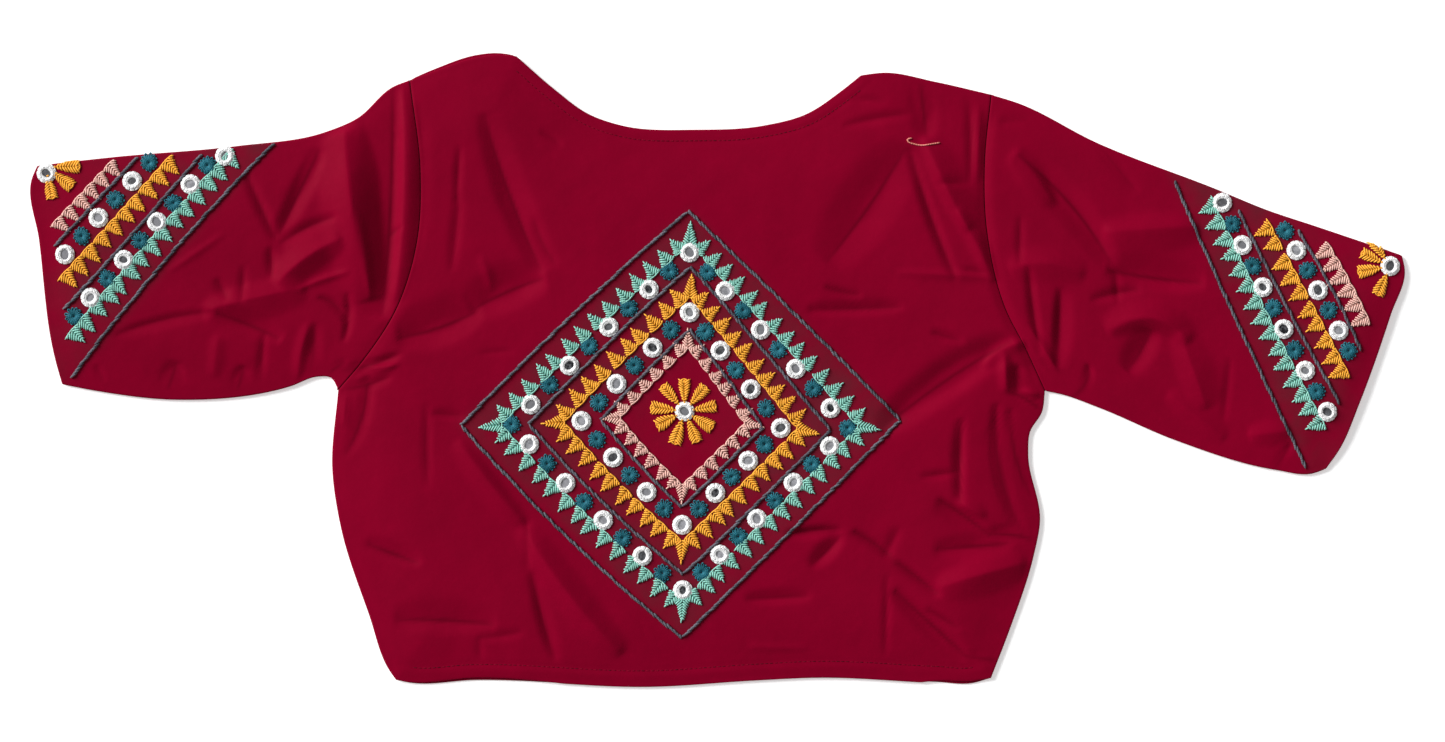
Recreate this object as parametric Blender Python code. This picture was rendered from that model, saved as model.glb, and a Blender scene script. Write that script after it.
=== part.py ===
"""A choli blouse laid flat with its back up.

The back panel lies over the two front panels. Each sleeve is one flattened tube, and small round
mirrors are sewn on the back and the sleeves. Sizes are in millimetres and are turned into metres
when the meshes are made. +X is towards the right sleeve, +Y towards the neck and +Z up.
"""

import math

import bpy
import bmesh
import numpy as np
from mathutils import Matrix, Vector
from mathutils.bvhtree import BVHTree

MM = 0.001

# Cloth
WALL = 1.4  # thickness of the cloth with its turned edges
SEAM = 0.3  # gap between two pieces at a seam, and between two layers
LAYER = 2 * WALL + SEAM  # top of the upper layer where it lies flat on the lower one
FOLD_INSET = LAYER / 2  # how far a sleeve's rounded fold reaches in from its edge
PUFF = 3.0  # how far the upper layer stands clear in the middle of a panel
PUFF_REACH = 15.0  # distance from the edge over which it rises

# Edges of the blouse, each a smooth line through its rows. Columns: x, y.
EDGES = {
    "shoulder_left": [
        (-194.4, 182.9),
        (-178.0, 189.0),
        (-153.0, 197.2),
        (-140.0, 198.9),
        (-127.6, 198.2),
    ],
    "neck": [
        (-127.6, 198.2),
        (-103.0, 176.8),
        (-82.0, 161.6),
        (-62.0, 154.6),
        (-14.0, 151.7),
        (29.0, 154.4),
        (55.0, 161.4),
        (77.8, 176.4),
        (89.8, 186.0),
    ],
    "shoulder_right": [(89.8, 186.0), (104.0, 187.6), (137.0, 181.8), (171.7, 173.8)],
    "armhole_left": [
        (-239.7, -12.4),
        (-224.6, 5.2),
        (-203.0, 38.0),
        (-189.5, 82.0),
        (-187.5, 125.0),
        (-194.4, 182.9),
    ],
    "armhole_right": [
        (205.7, -13.0),
        (193.1, 14.0),
        (180.8, 38.0),
        (169.0, 86.0),
        (167.3, 129.3),
        (171.7, 173.8),
    ],
    "side_left": [
        (-203.2, -195.1),
        (-207.2, -189.5),
        (-220.2, -154.2),
        (-238.0, -99.0),
        (-243.4, -62.8),
        (-239.7, -12.4),
    ],
    "side_right": [
        (171.7, -193.9),
        (184.0, -162.0),
        (198.6, -117.0),
        (202.6, -96.0),
        (195.2, -52.0),
        (196.2, -39.0),
        (204.0, -26.0),
        (205.7, -13.0),
    ],
    "hem": [
        (-203.2, -195.1),
        (-196.5, -196.6),
        (-153.0, -195.2),
        (-40.0, -199.1),
        (23.6, -195.0),
        (61.4, -193.2),
        (137.0, -196.4),
        (160.0, -197.2),
        (171.7, -193.9),
    ],
    "fold_left": [
        (-194.4, 182.9),
        (-204.0, 179.4),
        (-228.5, 158.4),
        (-248.0, 150.2),
        (-304.0, 141.4),
        (-380.0, 134.6),
        (-418.0, 130.4),
        (-429.3, 129.0),
    ],
    "fold_right": [
        (171.7, 173.8),
        (187.4, 169.0),
        (237.8, 143.8),
        (313.4, 114.4),
        (345.0, 101.4),
        (376.4, 90.9),
        (430.6, 72.6),
    ],
    "under_left": [
        (-239.7, -12.4),
        (-244.2, -4.6),
        (-252.5, -4.0),
        (-270.0, -10.2),
        (-341.8, -18.6),
        (-392.2, -13.0),
        (-413.6, -8.9),
    ],
    "under_right": [
        (205.7, -13.0),
        (216.4, -15.2),
        (237.8, -22.8),
        (288.2, -44.2),
        (351.2, -62.8),
        (374.0, -65.2),
        (382.7, -62.2),
    ],
    "cuff_left": [
        (-429.3, 129.0),
        (-432.6, 121.0),
        (-427.9, 82.1),
        (-417.8, 6.5),
        (-413.6, -8.9),
    ],
    "cuff_right": [
        (430.6, 72.6),
        (432.4, 64.0),
        (423.4, 34.8),
        (404.0, -20.0),
        (391.0, -50.2),
        (382.7, -62.2),
    ],
    "front_neck": [
        (-127.6, 198.2),
        (-104.0, 140.0),
        (-62.0, 100.0),
        (-19.0, 88.0),
        (25.0, 98.0),
        (66.0, 134.0),
        (89.8, 186.0),
    ],
}
CENTRE_FRONT_X = -19.0  # where the two fronts meet, at the middle row of front_neck
FRONT_ARMHOLE_INSET = 5.0  # the front armhole is cut this much deeper at its middle

# Stretches where the back's hem is turned up past the front's. Columns: middle x, half length, amount.
BACK_HEM_RISES = [(-150.0, 52.0, 1.6), (152.0, 24.0, 2.4)]
SHOULDER_LEFT_SLIP = 1.7  # how far the left front's shoulder edge peeks past the back's

# Steps along the edges
NECK_STEPS, SHOULDER_LEFT_STEPS, SHOULDER_RIGHT_STEPS = 29, 8, 10
SIDE_STEPS, ARMHOLE_STEPS = 23, 22
SLEEVE_STEPS, LOWER_ARMHOLE_STEPS = 26, 9
FRONT_NECK_STEPS, FRONT_SHOULDER_STEPS, FRONT_SIDE_STEPS = 9, 3, 8

# Folds in the upper layer: ridges rise and troughs sink.
# Columns: start x, start y, end x, end y, bow to the left of the run, half width, rise.
FOLDS = [
    # round the left armhole
    (-200.0, 172.0, -234.0, -2.0, 13.0, 8.5, 5.0),
    (-214.5, 166.0, -219.0, 22.0, 5.0, 8.0, -3.4),
    (-238.0, -8.0, -196.0, 6.0, 0.0, 7.0, 2.8),
    (-238.0, -14.0, -172.0, 12.0, -4.0, 8.0, -2.0),
    # left half of the back
    (-142.7, 148.9, -102.4, 42.4, -5.0, 9.0, 3.0),
    (-156.0, 142.0, -124.0, 60.0, -5.0, 8.0, -2.0),
    (-165.0, 144.5, -169.2, 70.0, 3.0, 9.0, 2.4),
    (-190.6, 26.6, -113.1, 55.0, -6.0, 9.0, 3.6),
    (-186.0, 42.0, -118.0, 70.0, -6.0, 8.0, -2.2),
    (-159.7, -50.2, -70.9, -163.0, -6.0, 9.0, -3.0),
    (-120.0, -122.0, -100.0, -168.0, 0.0, 10.0, 2.8),
    (-178.0, -24.0, -184.0, -92.0, 4.0, 12.0, 2.0),
    (-196.0, -100.0, -186.0, -168.0, 0.0, 12.0, -1.8),
    # right half of the back
    (122.0, 142.0, 151.5, 44.0, 5.0, 8.0, 3.0),
    (132.0, 134.4, 170.0, 68.0, 4.0, 8.0, -2.4),
    (-4.0, 94.0, 47.0, 64.0, -4.0, 8.0, -1.8),
    (46.0, 43.0, 112.0, 38.0, -4.0, 9.0, 2.6),
    (104.0, -40.0, 170.0, 12.0, -6.0, 9.0, -3.4),
    (112.0, -54.0, 178.0, -6.0, -6.0, 9.0, 2.6),
    (173.0, -16.0, 184.0, -84.0, 2.0, 7.0, 3.0),
    (184.0, -28.0, 188.0, -66.0, 2.0, 6.0, -2.2),
    (81.6, -100.6, 140.0, -144.0, -4.0, 9.0, -2.4),
    (92.0, -88.0, 150.0, -128.0, -4.0, 9.0, 2.2),
    (108.0, -140.0, 156.0, -180.0, -2.0, 8.0, -2.2),
    (40.0, -102.0, 82.0, -99.0, -2.0, 8.0, -1.8),
    # left sleeve
    (-298.0, 122.0, -273.0, 74.0, 3.0, 10.0, 2.6),
    (-330.0, 33.0, -263.0, 48.0, 4.0, 9.0, 3.2),
    (-318.0, 19.0, -274.0, 20.0, 4.0, 9.0, -2.2),
    (-287.0, 56.0, -248.0, 80.0, 3.0, 9.0, 2.6),
    (-256.0, 60.0, -258.0, 2.0, 0.0, 9.0, -2.4),
    (-360.0, 6.0, -290.0, -2.0, 3.0, 9.0, 1.8),
    # right sleeve
    (226.0, 42.0, 293.0, 50.0, 4.0, 9.0, 2.8),
    (222.0, 62.0, 274.0, 70.0, 3.0, 9.0, -2.2),
    (250.0, 24.0, 292.0, 20.0, 6.0, 8.0, 3.2),
    (254.0, 8.0, 284.0, 4.0, 4.0, 8.0, -2.2),
    (228.0, -2.0, 262.0, -20.0, 2.0, 10.0, 2.2),
    (286.0, -18.0, 314.0, -38.0, 0.0, 9.0, -1.8),
    (326.0, -34.0, 356.0, -52.0, 0.0, 9.0, 2.0),
    (200.0, 142.0, 240.0, 92.0, 5.0, 10.0, 2.0),
]
SEAM_DIP, SEAM_DIP_WIDTH = -1.6, 4.0  # the sewn armhole pulls the cloth down

# The embroidered diamonds: corners of their three outline ropes from the outermost in, how far each side of
# a rope bows to the left of its run, and their middle. The sleeves have one quarter each, from the sleeve's
# fold to its cuff.
DIAMONDS = {
    "back": {
        "ropes": [
            [(-19.2, 100.4), (114.3, -31.3), (-23.0, -168.3), (-162.2, -34.5)],
            [(-17.7, 65.4), (70.4, -37.8), (-22.2, -128.3), (-119.5, -33.8)],
            [(-18.3, 26.0), (28.0, -35.7), (-23.1, -86.0), (-74.2, -31.1)],
        ],
        "bows": [(0.9, 0.9, 4.4, 2.2), (0.6, 0.6, 2.9, 1.5), (0.3, 0.3, 1.5, 0.7)],
        "middle": (-21.3, -25.8),
    },
    "left": {
        "ropes": [
            [(-280.0, 143.2), (-407.9, -4.9)],
            [(-325.4, 136.3), (-412.3, 38.0)],
            [(-365.7, 134.4), (-418.0, 77.7)],
        ],
        "bows": [(-3.0,), (1.0,), (0.0,)],
        "middle": (-423.7, 128.1),
    },
    "right": {
        "ropes": [
            [(287.0, 119.3), (370.1, -61.6)],
            [(327.3, 101.0), (391.2, -21.2)],
            [(364.8, 88.4), (404.5, 12.2)],
        ],
        "bows": [(-1.5,), (-1.5,), (1.5,)],
        "middle": (423.0, 65.7),
    },
}

# Mirrors: round glass discs in rows between the ropes, on every other station of a row.
# Columns: panel, row (0 on the outermost rope, 1 and 2 on the next), stations a side, place of the first
# station, and which station has the first mirror.
MIRROR_ROWS = [
    ("back", 0.75, 9.0, 0.0, 0),
    ("back", 1.735, 6.0, 0.0, 0),
    ("left", 0.75, 9.3, -0.25, 0),
    ("left", 1.735, 5.85, 0.35, 1),
    ("right", 0.75, 10.4, 0.0, 0),
    ("right", 1.735, 7.0, 0.3, 1),
]
MIRROR_RADIUS, MIRROR_THICKNESS, MIRROR_SIDES = 5.0, 1.0, 10
EDGE_CLEARANCE = 5.6  # least distance of a mirror's centre from a folded edge or cuff

# Colours, as linear red, green and blue
COTTON = {"colour": (0.255, 0.002, 0.018), "roughness": 0.85, "metallic": 0.0}
GLASS = {"colour": (0.55, 0.57, 0.58), "roughness": 0.08, "metallic": 1.0}


def curve(rows, steps):
    """steps + 1 points, evenly spaced along the smooth line through the rows."""
    knots = np.asarray(rows, float)
    chord = np.r_[0.0, np.cumsum(np.linalg.norm(np.diff(knots, axis=0), axis=1))]
    slope = np.gradient(knots, chord, axis=0)
    along = np.linspace(0.0, chord[-1], 60 * len(knots))
    i = np.clip(np.searchsorted(chord, along, side="right") - 1, 0, len(chord) - 2)
    span = (chord[i + 1] - chord[i])[:, None]
    t = (along - chord[i])[:, None] / span
    points = (
        (2 * t**3 - 3 * t**2 + 1) * knots[i]
        + (t**3 - 2 * t**2 + t) * span * slope[i]
        + (3 * t**2 - 2 * t**3) * knots[i + 1]
        + (t**3 - t**2) * span * slope[i + 1]
    )
    return resample(points, steps)


def resample(points, steps):
    """steps + 1 points, evenly spaced by length along a run of points."""
    length = np.r_[0.0, np.cumsum(np.linalg.norm(np.diff(points, axis=0), axis=1))]
    want = np.linspace(0.0, length[-1], steps + 1)
    return np.stack([np.interp(want, length, points[:, axis]) for axis in (0, 1)], axis=1)


def joined(*runs):
    """Runs of points that share their end points, as one run."""
    return np.concatenate([runs[0]] + [run[1:] for run in runs[1:]])


def coons(low, high, left, right):
    """Points of a four-sided panel, grid[row, column], rows from the low edge to the high one."""
    v = np.linspace(0.0, 1.0, len(left))[:, None, None]
    u = np.linspace(0.0, 1.0, len(low))[None, :, None]
    sides = (1 - u) * left[:, None] + u * right[:, None]
    ends = (1 - v) * low[None, :] + v * high[None, :]
    corners = (1 - v) * ((1 - u) * low[0] + u * low[-1]) + v * ((1 - u) * high[0] + u * high[-1])
    return sides + ends - corners


def nearest(points, line):
    """Distance from each point to a run of points, and how far along the run (0 to 1) it is met."""
    start, step = line[:-1], np.diff(line, axis=0)
    squared = np.maximum((step**2).sum(axis=1), 1e-12)
    best = np.full(len(points), np.inf)
    where = np.zeros(len(points))
    for i in range(len(start)):
        t = np.clip(((points - start[i]) @ step[i]) / squared[i], 0.0, 1.0)
        far = np.linalg.norm(points - start[i] - t[:, None] * step[i], axis=1)
        closer = far < best
        best[closer] = far[closer]
        where[closer] = (i + t[closer]) / len(start)
    return best, where


def fold_line(x0, y0, x1, y1, bow):
    """A bowed line from one point to another."""
    start, end = np.array([x0, y0]), np.array([x1, y1])
    run = end - start
    side = np.array([-run[1], run[0]]) / np.linalg.norm(run)
    t = np.linspace(0.0, 1.0, 13)[:, None]
    return start + t * run + 4 * bow * t * (1 - t) * side


def free_edges():
    """The folded, sewn and hemmed edges at which the two layers meet."""
    fine = {name: curve(rows, 30) for name, rows in EDGES.items()}
    return [
        joined(fine["side_left"][::-1], fine["hem"], fine["side_right"]),
        joined(fine["fold_left"][::-1], fine["shoulder_left"], fine["neck"]),
        joined(fine["shoulder_right"], fine["fold_right"]),
        fine["under_left"],
        fine["under_right"],
    ]


def upper_height(grid):
    """Height of the upper layer's outer face over each point of a grid."""
    points = grid.reshape(-1, 2)
    edge = np.min([nearest(points, line)[0] for line in free_edges()], axis=0)
    lift = PUFF * (1 - np.exp(-((edge / PUFF_REACH) ** 2)))
    for x0, y0, x1, y1, bow, width, rise in FOLDS:
        far, where = nearest(points, fold_line(x0, y0, x1, y1, bow))
        taper = np.sqrt(np.clip(np.sin(math.pi * where), 0.0, 1.0))
        lift += rise * taper * np.exp(-((far / width) ** 2))
    for name in ("armhole_left", "armhole_right"):
        far = nearest(points, curve(EDGES[name], 30))[0]
        lift += SEAM_DIP * np.exp(-((far / SEAM_DIP_WIDTH) ** 2))
    lift *= 1 - np.exp(-((edge / 3.0) ** 2))
    rounded = 0.5 * (lift + np.sqrt(lift**2 + 0.16)) - 0.2
    return (LAYER + np.maximum(rounded, 0.0)).reshape(grid.shape[:-1])


def with_height(grid, height):
    """A flat grid given heights."""
    return np.concatenate([grid, np.broadcast_to(height, grid.shape[:-1])[..., None]], axis=-1)


def material(name, look):
    made = bpy.data.materials.new(name)
    made.use_nodes = True
    shader = made.node_tree.nodes["Principled BSDF"]
    shader.inputs["Base Color"].default_value = (*look["colour"], 1.0)
    shader.inputs["Roughness"].default_value = look["roughness"]
    shader.inputs["Metallic"].default_value = look["metallic"]
    made.diffuse_color = (*look["colour"], 1.0)
    return made


def add_object(name, points, faces, look):
    """A mesh object in metres with its faces turned outwards."""
    mesh = bpy.data.meshes.new(name)
    mesh.from_pydata([tuple(MM * float(c) for c in p) for p in points], [], faces)
    shape = bmesh.new()
    shape.from_mesh(mesh)
    bmesh.ops.recalc_face_normals(shape, faces=shape.faces)
    shape.to_mesh(mesh)
    shape.free()
    mesh.materials.append(look)
    made = bpy.data.objects.new(name, mesh)
    bpy.context.scene.collection.objects.link(made)
    return made


def grid_faces(rows, columns, first=0, wrap=False):
    """Quads of a grid of points, the last column met by the first if it wraps."""
    across = columns if wrap else columns - 1
    return [
        (
            first + r * columns + c,
            first + r * columns + (c + 1) % columns,
            first + (r + 1) * columns + (c + 1) % columns,
            first + (r + 1) * columns + c,
        )
        for r in range(rows - 1)
        for c in range(across)
    ]


def panel(name, top, under, look):
    """A closed sheet between two grids that match point for point."""
    rows, columns = top.shape[:2]
    count = rows * columns
    faces = grid_faces(rows, columns) + [f[::-1] for f in grid_faces(rows, columns, count)]
    rim = [(0, c) for c in range(columns)] + [(r, columns - 1) for r in range(1, rows)]
    rim += [(rows - 1, c) for c in range(columns - 2, -1, -1)] + [(r, 0) for r in range(rows - 2, 0, -1)]
    loop = [r * columns + c for r, c in rim]
    for here, after in zip(loop, loop[1:] + loop[:1]):
        faces.append((after, here, here + count, after + count))
    points = np.concatenate([top.reshape(-1, 3), under.reshape(-1, 3)])
    return add_object(name, points, faces, look)


def tube(name, outer, inner, look):
    """A closed wall between an outer and an inner run of rings, open at both ends."""
    rings, around = outer.shape[:2]
    count = rings * around
    faces = grid_faces(rings, around, wrap=True)
    faces += [f[::-1] for f in grid_faces(rings, around, count, wrap=True)]
    for ring in (0, rings - 1):
        for c in range(around):
            here, after = ring * around + c, ring * around + (c + 1) % around
            quad = (here, after, after + count, here + count)
            faces.append(quad[::-1] if ring == 0 else quad)
    points = np.concatenate([outer.reshape(-1, 3), inner.reshape(-1, 3)])
    return add_object(name, points, faces, look)


def back_panel(look):
    """The back, from the hem to the shoulders, with its hem turned up in two places."""
    high = joined(
        curve(EDGES["shoulder_left"], SHOULDER_LEFT_STEPS),
        curve(EDGES["neck"], NECK_STEPS),
        curve(EDGES["shoulder_right"], SHOULDER_RIGHT_STEPS),
    )
    low = curve(EDGES["hem"], len(high) - 1)
    for middle, half, amount in BACK_HEM_RISES:
        low[:, 1] += amount * np.clip(1 - ((low[:, 0] - middle) / half) ** 2, 0.0, 1.0)
    left = joined(curve(EDGES["side_left"], SIDE_STEPS), curve(EDGES["armhole_left"], ARMHOLE_STEPS))
    right = joined(curve(EDGES["side_right"], SIDE_STEPS), curve(EDGES["armhole_right"], ARMHOLE_STEPS))
    grid = coons(low, high, left, right)
    height = upper_height(grid)
    return panel("back", with_height(grid, height), with_height(grid, height - WALL), look)


def front_armhole(side):
    """The front's armhole, cut deeper than the back's towards its middle."""
    line = curve(EDGES["armhole_" + side], LOWER_ARMHOLE_STEPS)
    t = np.linspace(0.0, 1.0, len(line))
    inward = 1.0 if side == "left" else -1.0
    line[:, 0] += inward * FRONT_ARMHOLE_INSET * np.sin(math.pi * t) ** 2
    return line


def front_panel(side, look):
    """A front, from its side seam to the middle, where the two fronts meet."""
    neck = curve(EDGES["front_neck"], 4 * FRONT_NECK_STEPS)
    hem = curve(EDGES["hem"], 120)
    shoulder = curve(EDGES["shoulder_" + side], FRONT_SHOULDER_STEPS)
    outer = joined(curve(EDGES["side_" + side], FRONT_SIDE_STEPS), front_armhole(side))
    is_left = side == "left"
    if is_left:
        shoulder[1:-1, 1] += SHOULDER_LEFT_SLIP
    inward = 1.0 if is_left else -1.0
    neck = neck[inward * (neck[:, 0] - CENTRE_FRONT_X) <= 0]
    hem = hem[inward * (hem[:, 0] - CENTRE_FRONT_X) <= 0]
    end = -1 if is_left else 0
    neck[end, 0] = hem[end, 0] = CENTRE_FRONT_X - inward * SEAM / 2
    neck = resample(neck, FRONT_NECK_STEPS)
    high = joined(shoulder, neck) if is_left else joined(neck, shoulder)
    low = resample(hem, len(high) - 1)
    middle = resample(np.array([low[end], high[end]]), len(outer) - 1)
    grid = coons(low, high, outer, middle) if is_left else coons(low, high, middle, outer)
    return panel("front_" + side, with_height(grid, WALL), with_height(grid, 0.0), look)


def sleeve_sheet(armhole, cuff, fold, under, outward):
    """Flat grid of one wall of a sleeve: a row for each ring, from the fold to the underarm."""
    grid = coons(armhole[::-1], cuff, fold, under)
    grid[0] += (SEAM + 0.05) * outward
    return grid


def in_from_edges(grid, inset):
    """The grid with a column added at each side, this far in from the edge."""
    first = grid[:, 1] - grid[:, 0]
    last = grid[:, -2] - grid[:, -1]
    first /= np.linalg.norm(first, axis=1)[:, None]
    last /= np.linalg.norm(last, axis=1)[:, None]
    near, far = grid[:, 0] + inset * first, grid[:, -1] + inset * last
    return np.concatenate([near[:, None], grid[:, 1:-1], far[:, None]], axis=1)


def sleeve(side, look):
    """A sleeve laid flat: an upper and a lower wall joined by rounded folds."""
    fold = curve(EDGES["fold_" + side], SLEEVE_STEPS)
    under = curve(EDGES["under_" + side], SLEEVE_STEPS)
    outward = np.array([-1.0, 0.0] if side == "left" else [1.0, 0.0])
    cuff = curve(EDGES["cuff_" + side], ARMHOLE_STEPS)
    upper = sleeve_sheet(curve(EDGES["armhole_" + side], ARMHOLE_STEPS), cuff, fold, under, outward)
    coarse_cuff = resample(cuff, LOWER_ARMHOLE_STEPS)
    coarse_cuff[[0, -1]] = cuff[[0, -1]]
    lower = sleeve_sheet(front_armhole(side), coarse_cuff, fold, under, outward)
    edges = upper[:, [0]], upper[:, [-1]]
    upper_inner, lower_inner = in_from_edges(upper, FOLD_INSET), in_from_edges(lower, FOLD_INSET)
    height = upper_height(upper_inner)
    rims = in_from_edges(upper, WALL)[:, [0, -1]]
    middle = LAYER / 2

    def ring(fold_edge, under_edge, top_height, low_height):
        return np.concatenate(
            [
                with_height(fold_edge, middle),
                with_height(upper_inner, top_height),
                with_height(under_edge, middle),
                with_height(lower_inner[:, ::-1], low_height),
            ],
            axis=1,
        )

    outer = ring(edges[0], edges[1], height, 0.0)
    inner = ring(rims[:, [0]], rims[:, [1]], height - WALL, WALL)
    return tube("sleeve_" + side, outer, inner, look)


def row_shape(panel_name, row):
    """Corners of a row that runs between a diamond's ropes, and the bows of its sides."""
    diamond = DIAMONDS[panel_name]
    ropes, bows = np.array(diamond["ropes"]), np.array(diamond["bows"])
    rings = np.concatenate([ropes, np.broadcast_to(diamond["middle"], ropes[:1].shape)])
    bends = np.concatenate([bows, np.zeros_like(bows[:1])])
    inner = min(int(row), len(rings) - 2)
    share = row - inner
    corners = (1 - share) * rings[inner] + share * rings[inner + 1]
    return corners, (1 - share) * bends[inner] + share * bends[inner + 1]


def row_point(panel_name, row, side, share):
    """The point this share of the way along a side of a row."""
    corners, bends = row_shape(panel_name, row)
    start, end = corners[side], corners[(side + 1) % len(corners)]
    run = end - start
    outward = np.array([-run[1], run[0]]) / np.linalg.norm(run)
    return start + share * run + 4 * bends[side] * share * (1 - share) * outward


def mirror_places():
    """The middles of the mirrors on each panel: one in the middle of the diamond, then its rows."""
    places = {name: [diamond["middle"]] for name, diamond in DIAMONDS.items()}
    for name, row, stations, offset, first in MIRROR_ROWS:
        sides = len(DIAMONDS[name]["bows"][0])
        closes = sides > 1
        for side in range(sides):
            # A closed row's stations run on round its corners, so each side starts where the last one ended.
            k = (first + side * int(stations)) % 2 if closes else first
            while k + offset < stations - (0 if closes else 0.3):
                places[name].append(row_point(name, row, side, (k + offset) / stations))
                k += 2
    return places


def kept_in(place, lines):
    """A place moved in from the edges it is too near to, or past."""
    spot = np.array(place, float)
    for line in lines:
        where = nearest(spot[None], line)[1][0] * (len(line) - 1)
        i = min(int(where), len(line) - 2)
        along = line[i + 1] - line[i]
        meets = line[i] + along * (where - i)
        inward = np.array([-along[1], along[0]]) / np.linalg.norm(along)
        if (np.concatenate(lines).mean(axis=0) - meets) @ inward < 0:
            inward = -inward
        if (spot - meets) @ inward < EDGE_CLEARANCE:
            spot = meets + EDGE_CLEARANCE * inward
    return spot


def surface_of(made):
    """A lookup of a mesh object's upper face."""
    points = [v.co.copy() for v in made.data.vertices]
    faces = [tuple(p.vertices) for p in made.data.polygons]
    return BVHTree.FromPolygons(points, faces)


def mirror(name, spot, surface, look):
    """A glass disc that lies on the cloth, tilted as the cloth under it is."""
    offsets, heights = [], []
    for share, count in ((0.0, 1), (0.5, 8), (1.0, 20)):
        for k in range(count):
            turn = 2 * math.pi * k / count
            dx, dy = share * MIRROR_RADIUS * math.cos(turn), share * MIRROR_RADIUS * math.sin(turn)
            above = Vector((MM * (spot[0] + dx), MM * (spot[1] + dy), 1.0))
            hit = surface.ray_cast(above, Vector((0, 0, -1)))[0]
            if hit:
                offsets.append((dx, dy))
                heights.append(hit.z / MM)
    offsets, heights = np.array(offsets), np.array(heights)
    slopes = np.c_[offsets, np.ones(len(offsets))]
    plane = np.linalg.lstsq(slopes, heights, rcond=None)[0]
    seat = plane[2] + (heights - slopes @ plane).max() + SEAM
    turns = 2 * math.pi * np.arange(MIRROR_SIDES) / MIRROR_SIDES
    ring = MIRROR_RADIUS * np.c_[np.cos(turns), np.sin(turns)]
    level = seat + ring @ plane[:2]
    low = np.c_[ring + spot, level]
    high = np.c_[ring + spot, level + MIRROR_THICKNESS]
    n = MIRROR_SIDES
    faces = [tuple(range(n))[::-1], tuple(range(n, 2 * n))]
    faces += [(k, (k + 1) % n, n + (k + 1) % n, n + k) for k in range(n)]
    return add_object(name, np.concatenate([low, high]), faces, look)


def centre_all():
    """Moves every mesh so that the blouse's middle is over the origin."""
    corners = np.array([v.co for made in bpy.data.objects for v in made.data.vertices])
    middle = (corners.min(axis=0) + corners.max(axis=0)) / 2
    shift = Matrix.Translation((-middle[0], -middle[1], -corners[:, 2].min()))
    for made in bpy.data.objects:
        made.data.transform(shift)


def main():
    for old in list(bpy.data.objects):
        bpy.data.objects.remove(old, do_unlink=True)
    cotton, glass = material("cotton", COTTON), material("mirror", GLASS)
    cloth = {
        "back": back_panel(cotton),
        "left": sleeve("left", cotton),
        "right": sleeve("right", cotton),
    }
    front_panel("left", cotton)
    front_panel("right", cotton)
    edges = {
        "back": [],
        "left": [curve(EDGES["fold_left"], 30), curve(EDGES["cuff_left"], 30)],
        "right": [curve(EDGES["fold_right"], 30), curve(EDGES["cuff_right"], 30)],
    }
    for name, places in mirror_places().items():
        surface = surface_of(cloth[name])
        for number, place in enumerate(places, 1):
            mirror(f"mirror_{name}_{number:02d}", kept_in(place, edges[name]), surface, glass)
    centre_all()


main()
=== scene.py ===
import math
from functools import lru_cache

import bpy
import numpy as np
from mathutils import Matrix, Vector
from bpy.props import FloatProperty, FloatVectorProperty, IntProperty, PointerProperty
from bpy.types import Operator, Panel, PropertyGroup


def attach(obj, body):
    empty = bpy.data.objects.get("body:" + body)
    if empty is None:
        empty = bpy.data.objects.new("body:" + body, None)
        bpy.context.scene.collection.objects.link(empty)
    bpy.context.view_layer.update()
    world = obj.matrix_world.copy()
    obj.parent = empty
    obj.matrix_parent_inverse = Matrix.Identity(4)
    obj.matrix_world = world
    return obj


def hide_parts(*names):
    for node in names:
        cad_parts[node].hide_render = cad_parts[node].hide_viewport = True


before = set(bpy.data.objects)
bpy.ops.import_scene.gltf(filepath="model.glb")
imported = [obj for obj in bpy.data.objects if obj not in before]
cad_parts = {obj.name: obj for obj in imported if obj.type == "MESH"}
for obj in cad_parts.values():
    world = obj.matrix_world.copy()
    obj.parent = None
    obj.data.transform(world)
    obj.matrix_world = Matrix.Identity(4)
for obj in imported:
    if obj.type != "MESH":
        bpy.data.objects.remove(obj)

bl_info = {
    "name": "Choli blouse",
    "version": (1, 0, 0),
    "blender": (4, 5, 0),
    "location": "3D View > Sidebar > Choli",
    "description": "A mirror-work choli blouse laid flat with its back up",
    "category": "Object",
}

# Sizes in the tables are in millimetres, in the frame of the part's solids before they are centred.
MM = 0.001
SEED = 11
RIM_TURNS = np.radians([0.0, 45.0, 90.0, 135.0, 180.0])  # of the points round a sheet's edge

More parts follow.
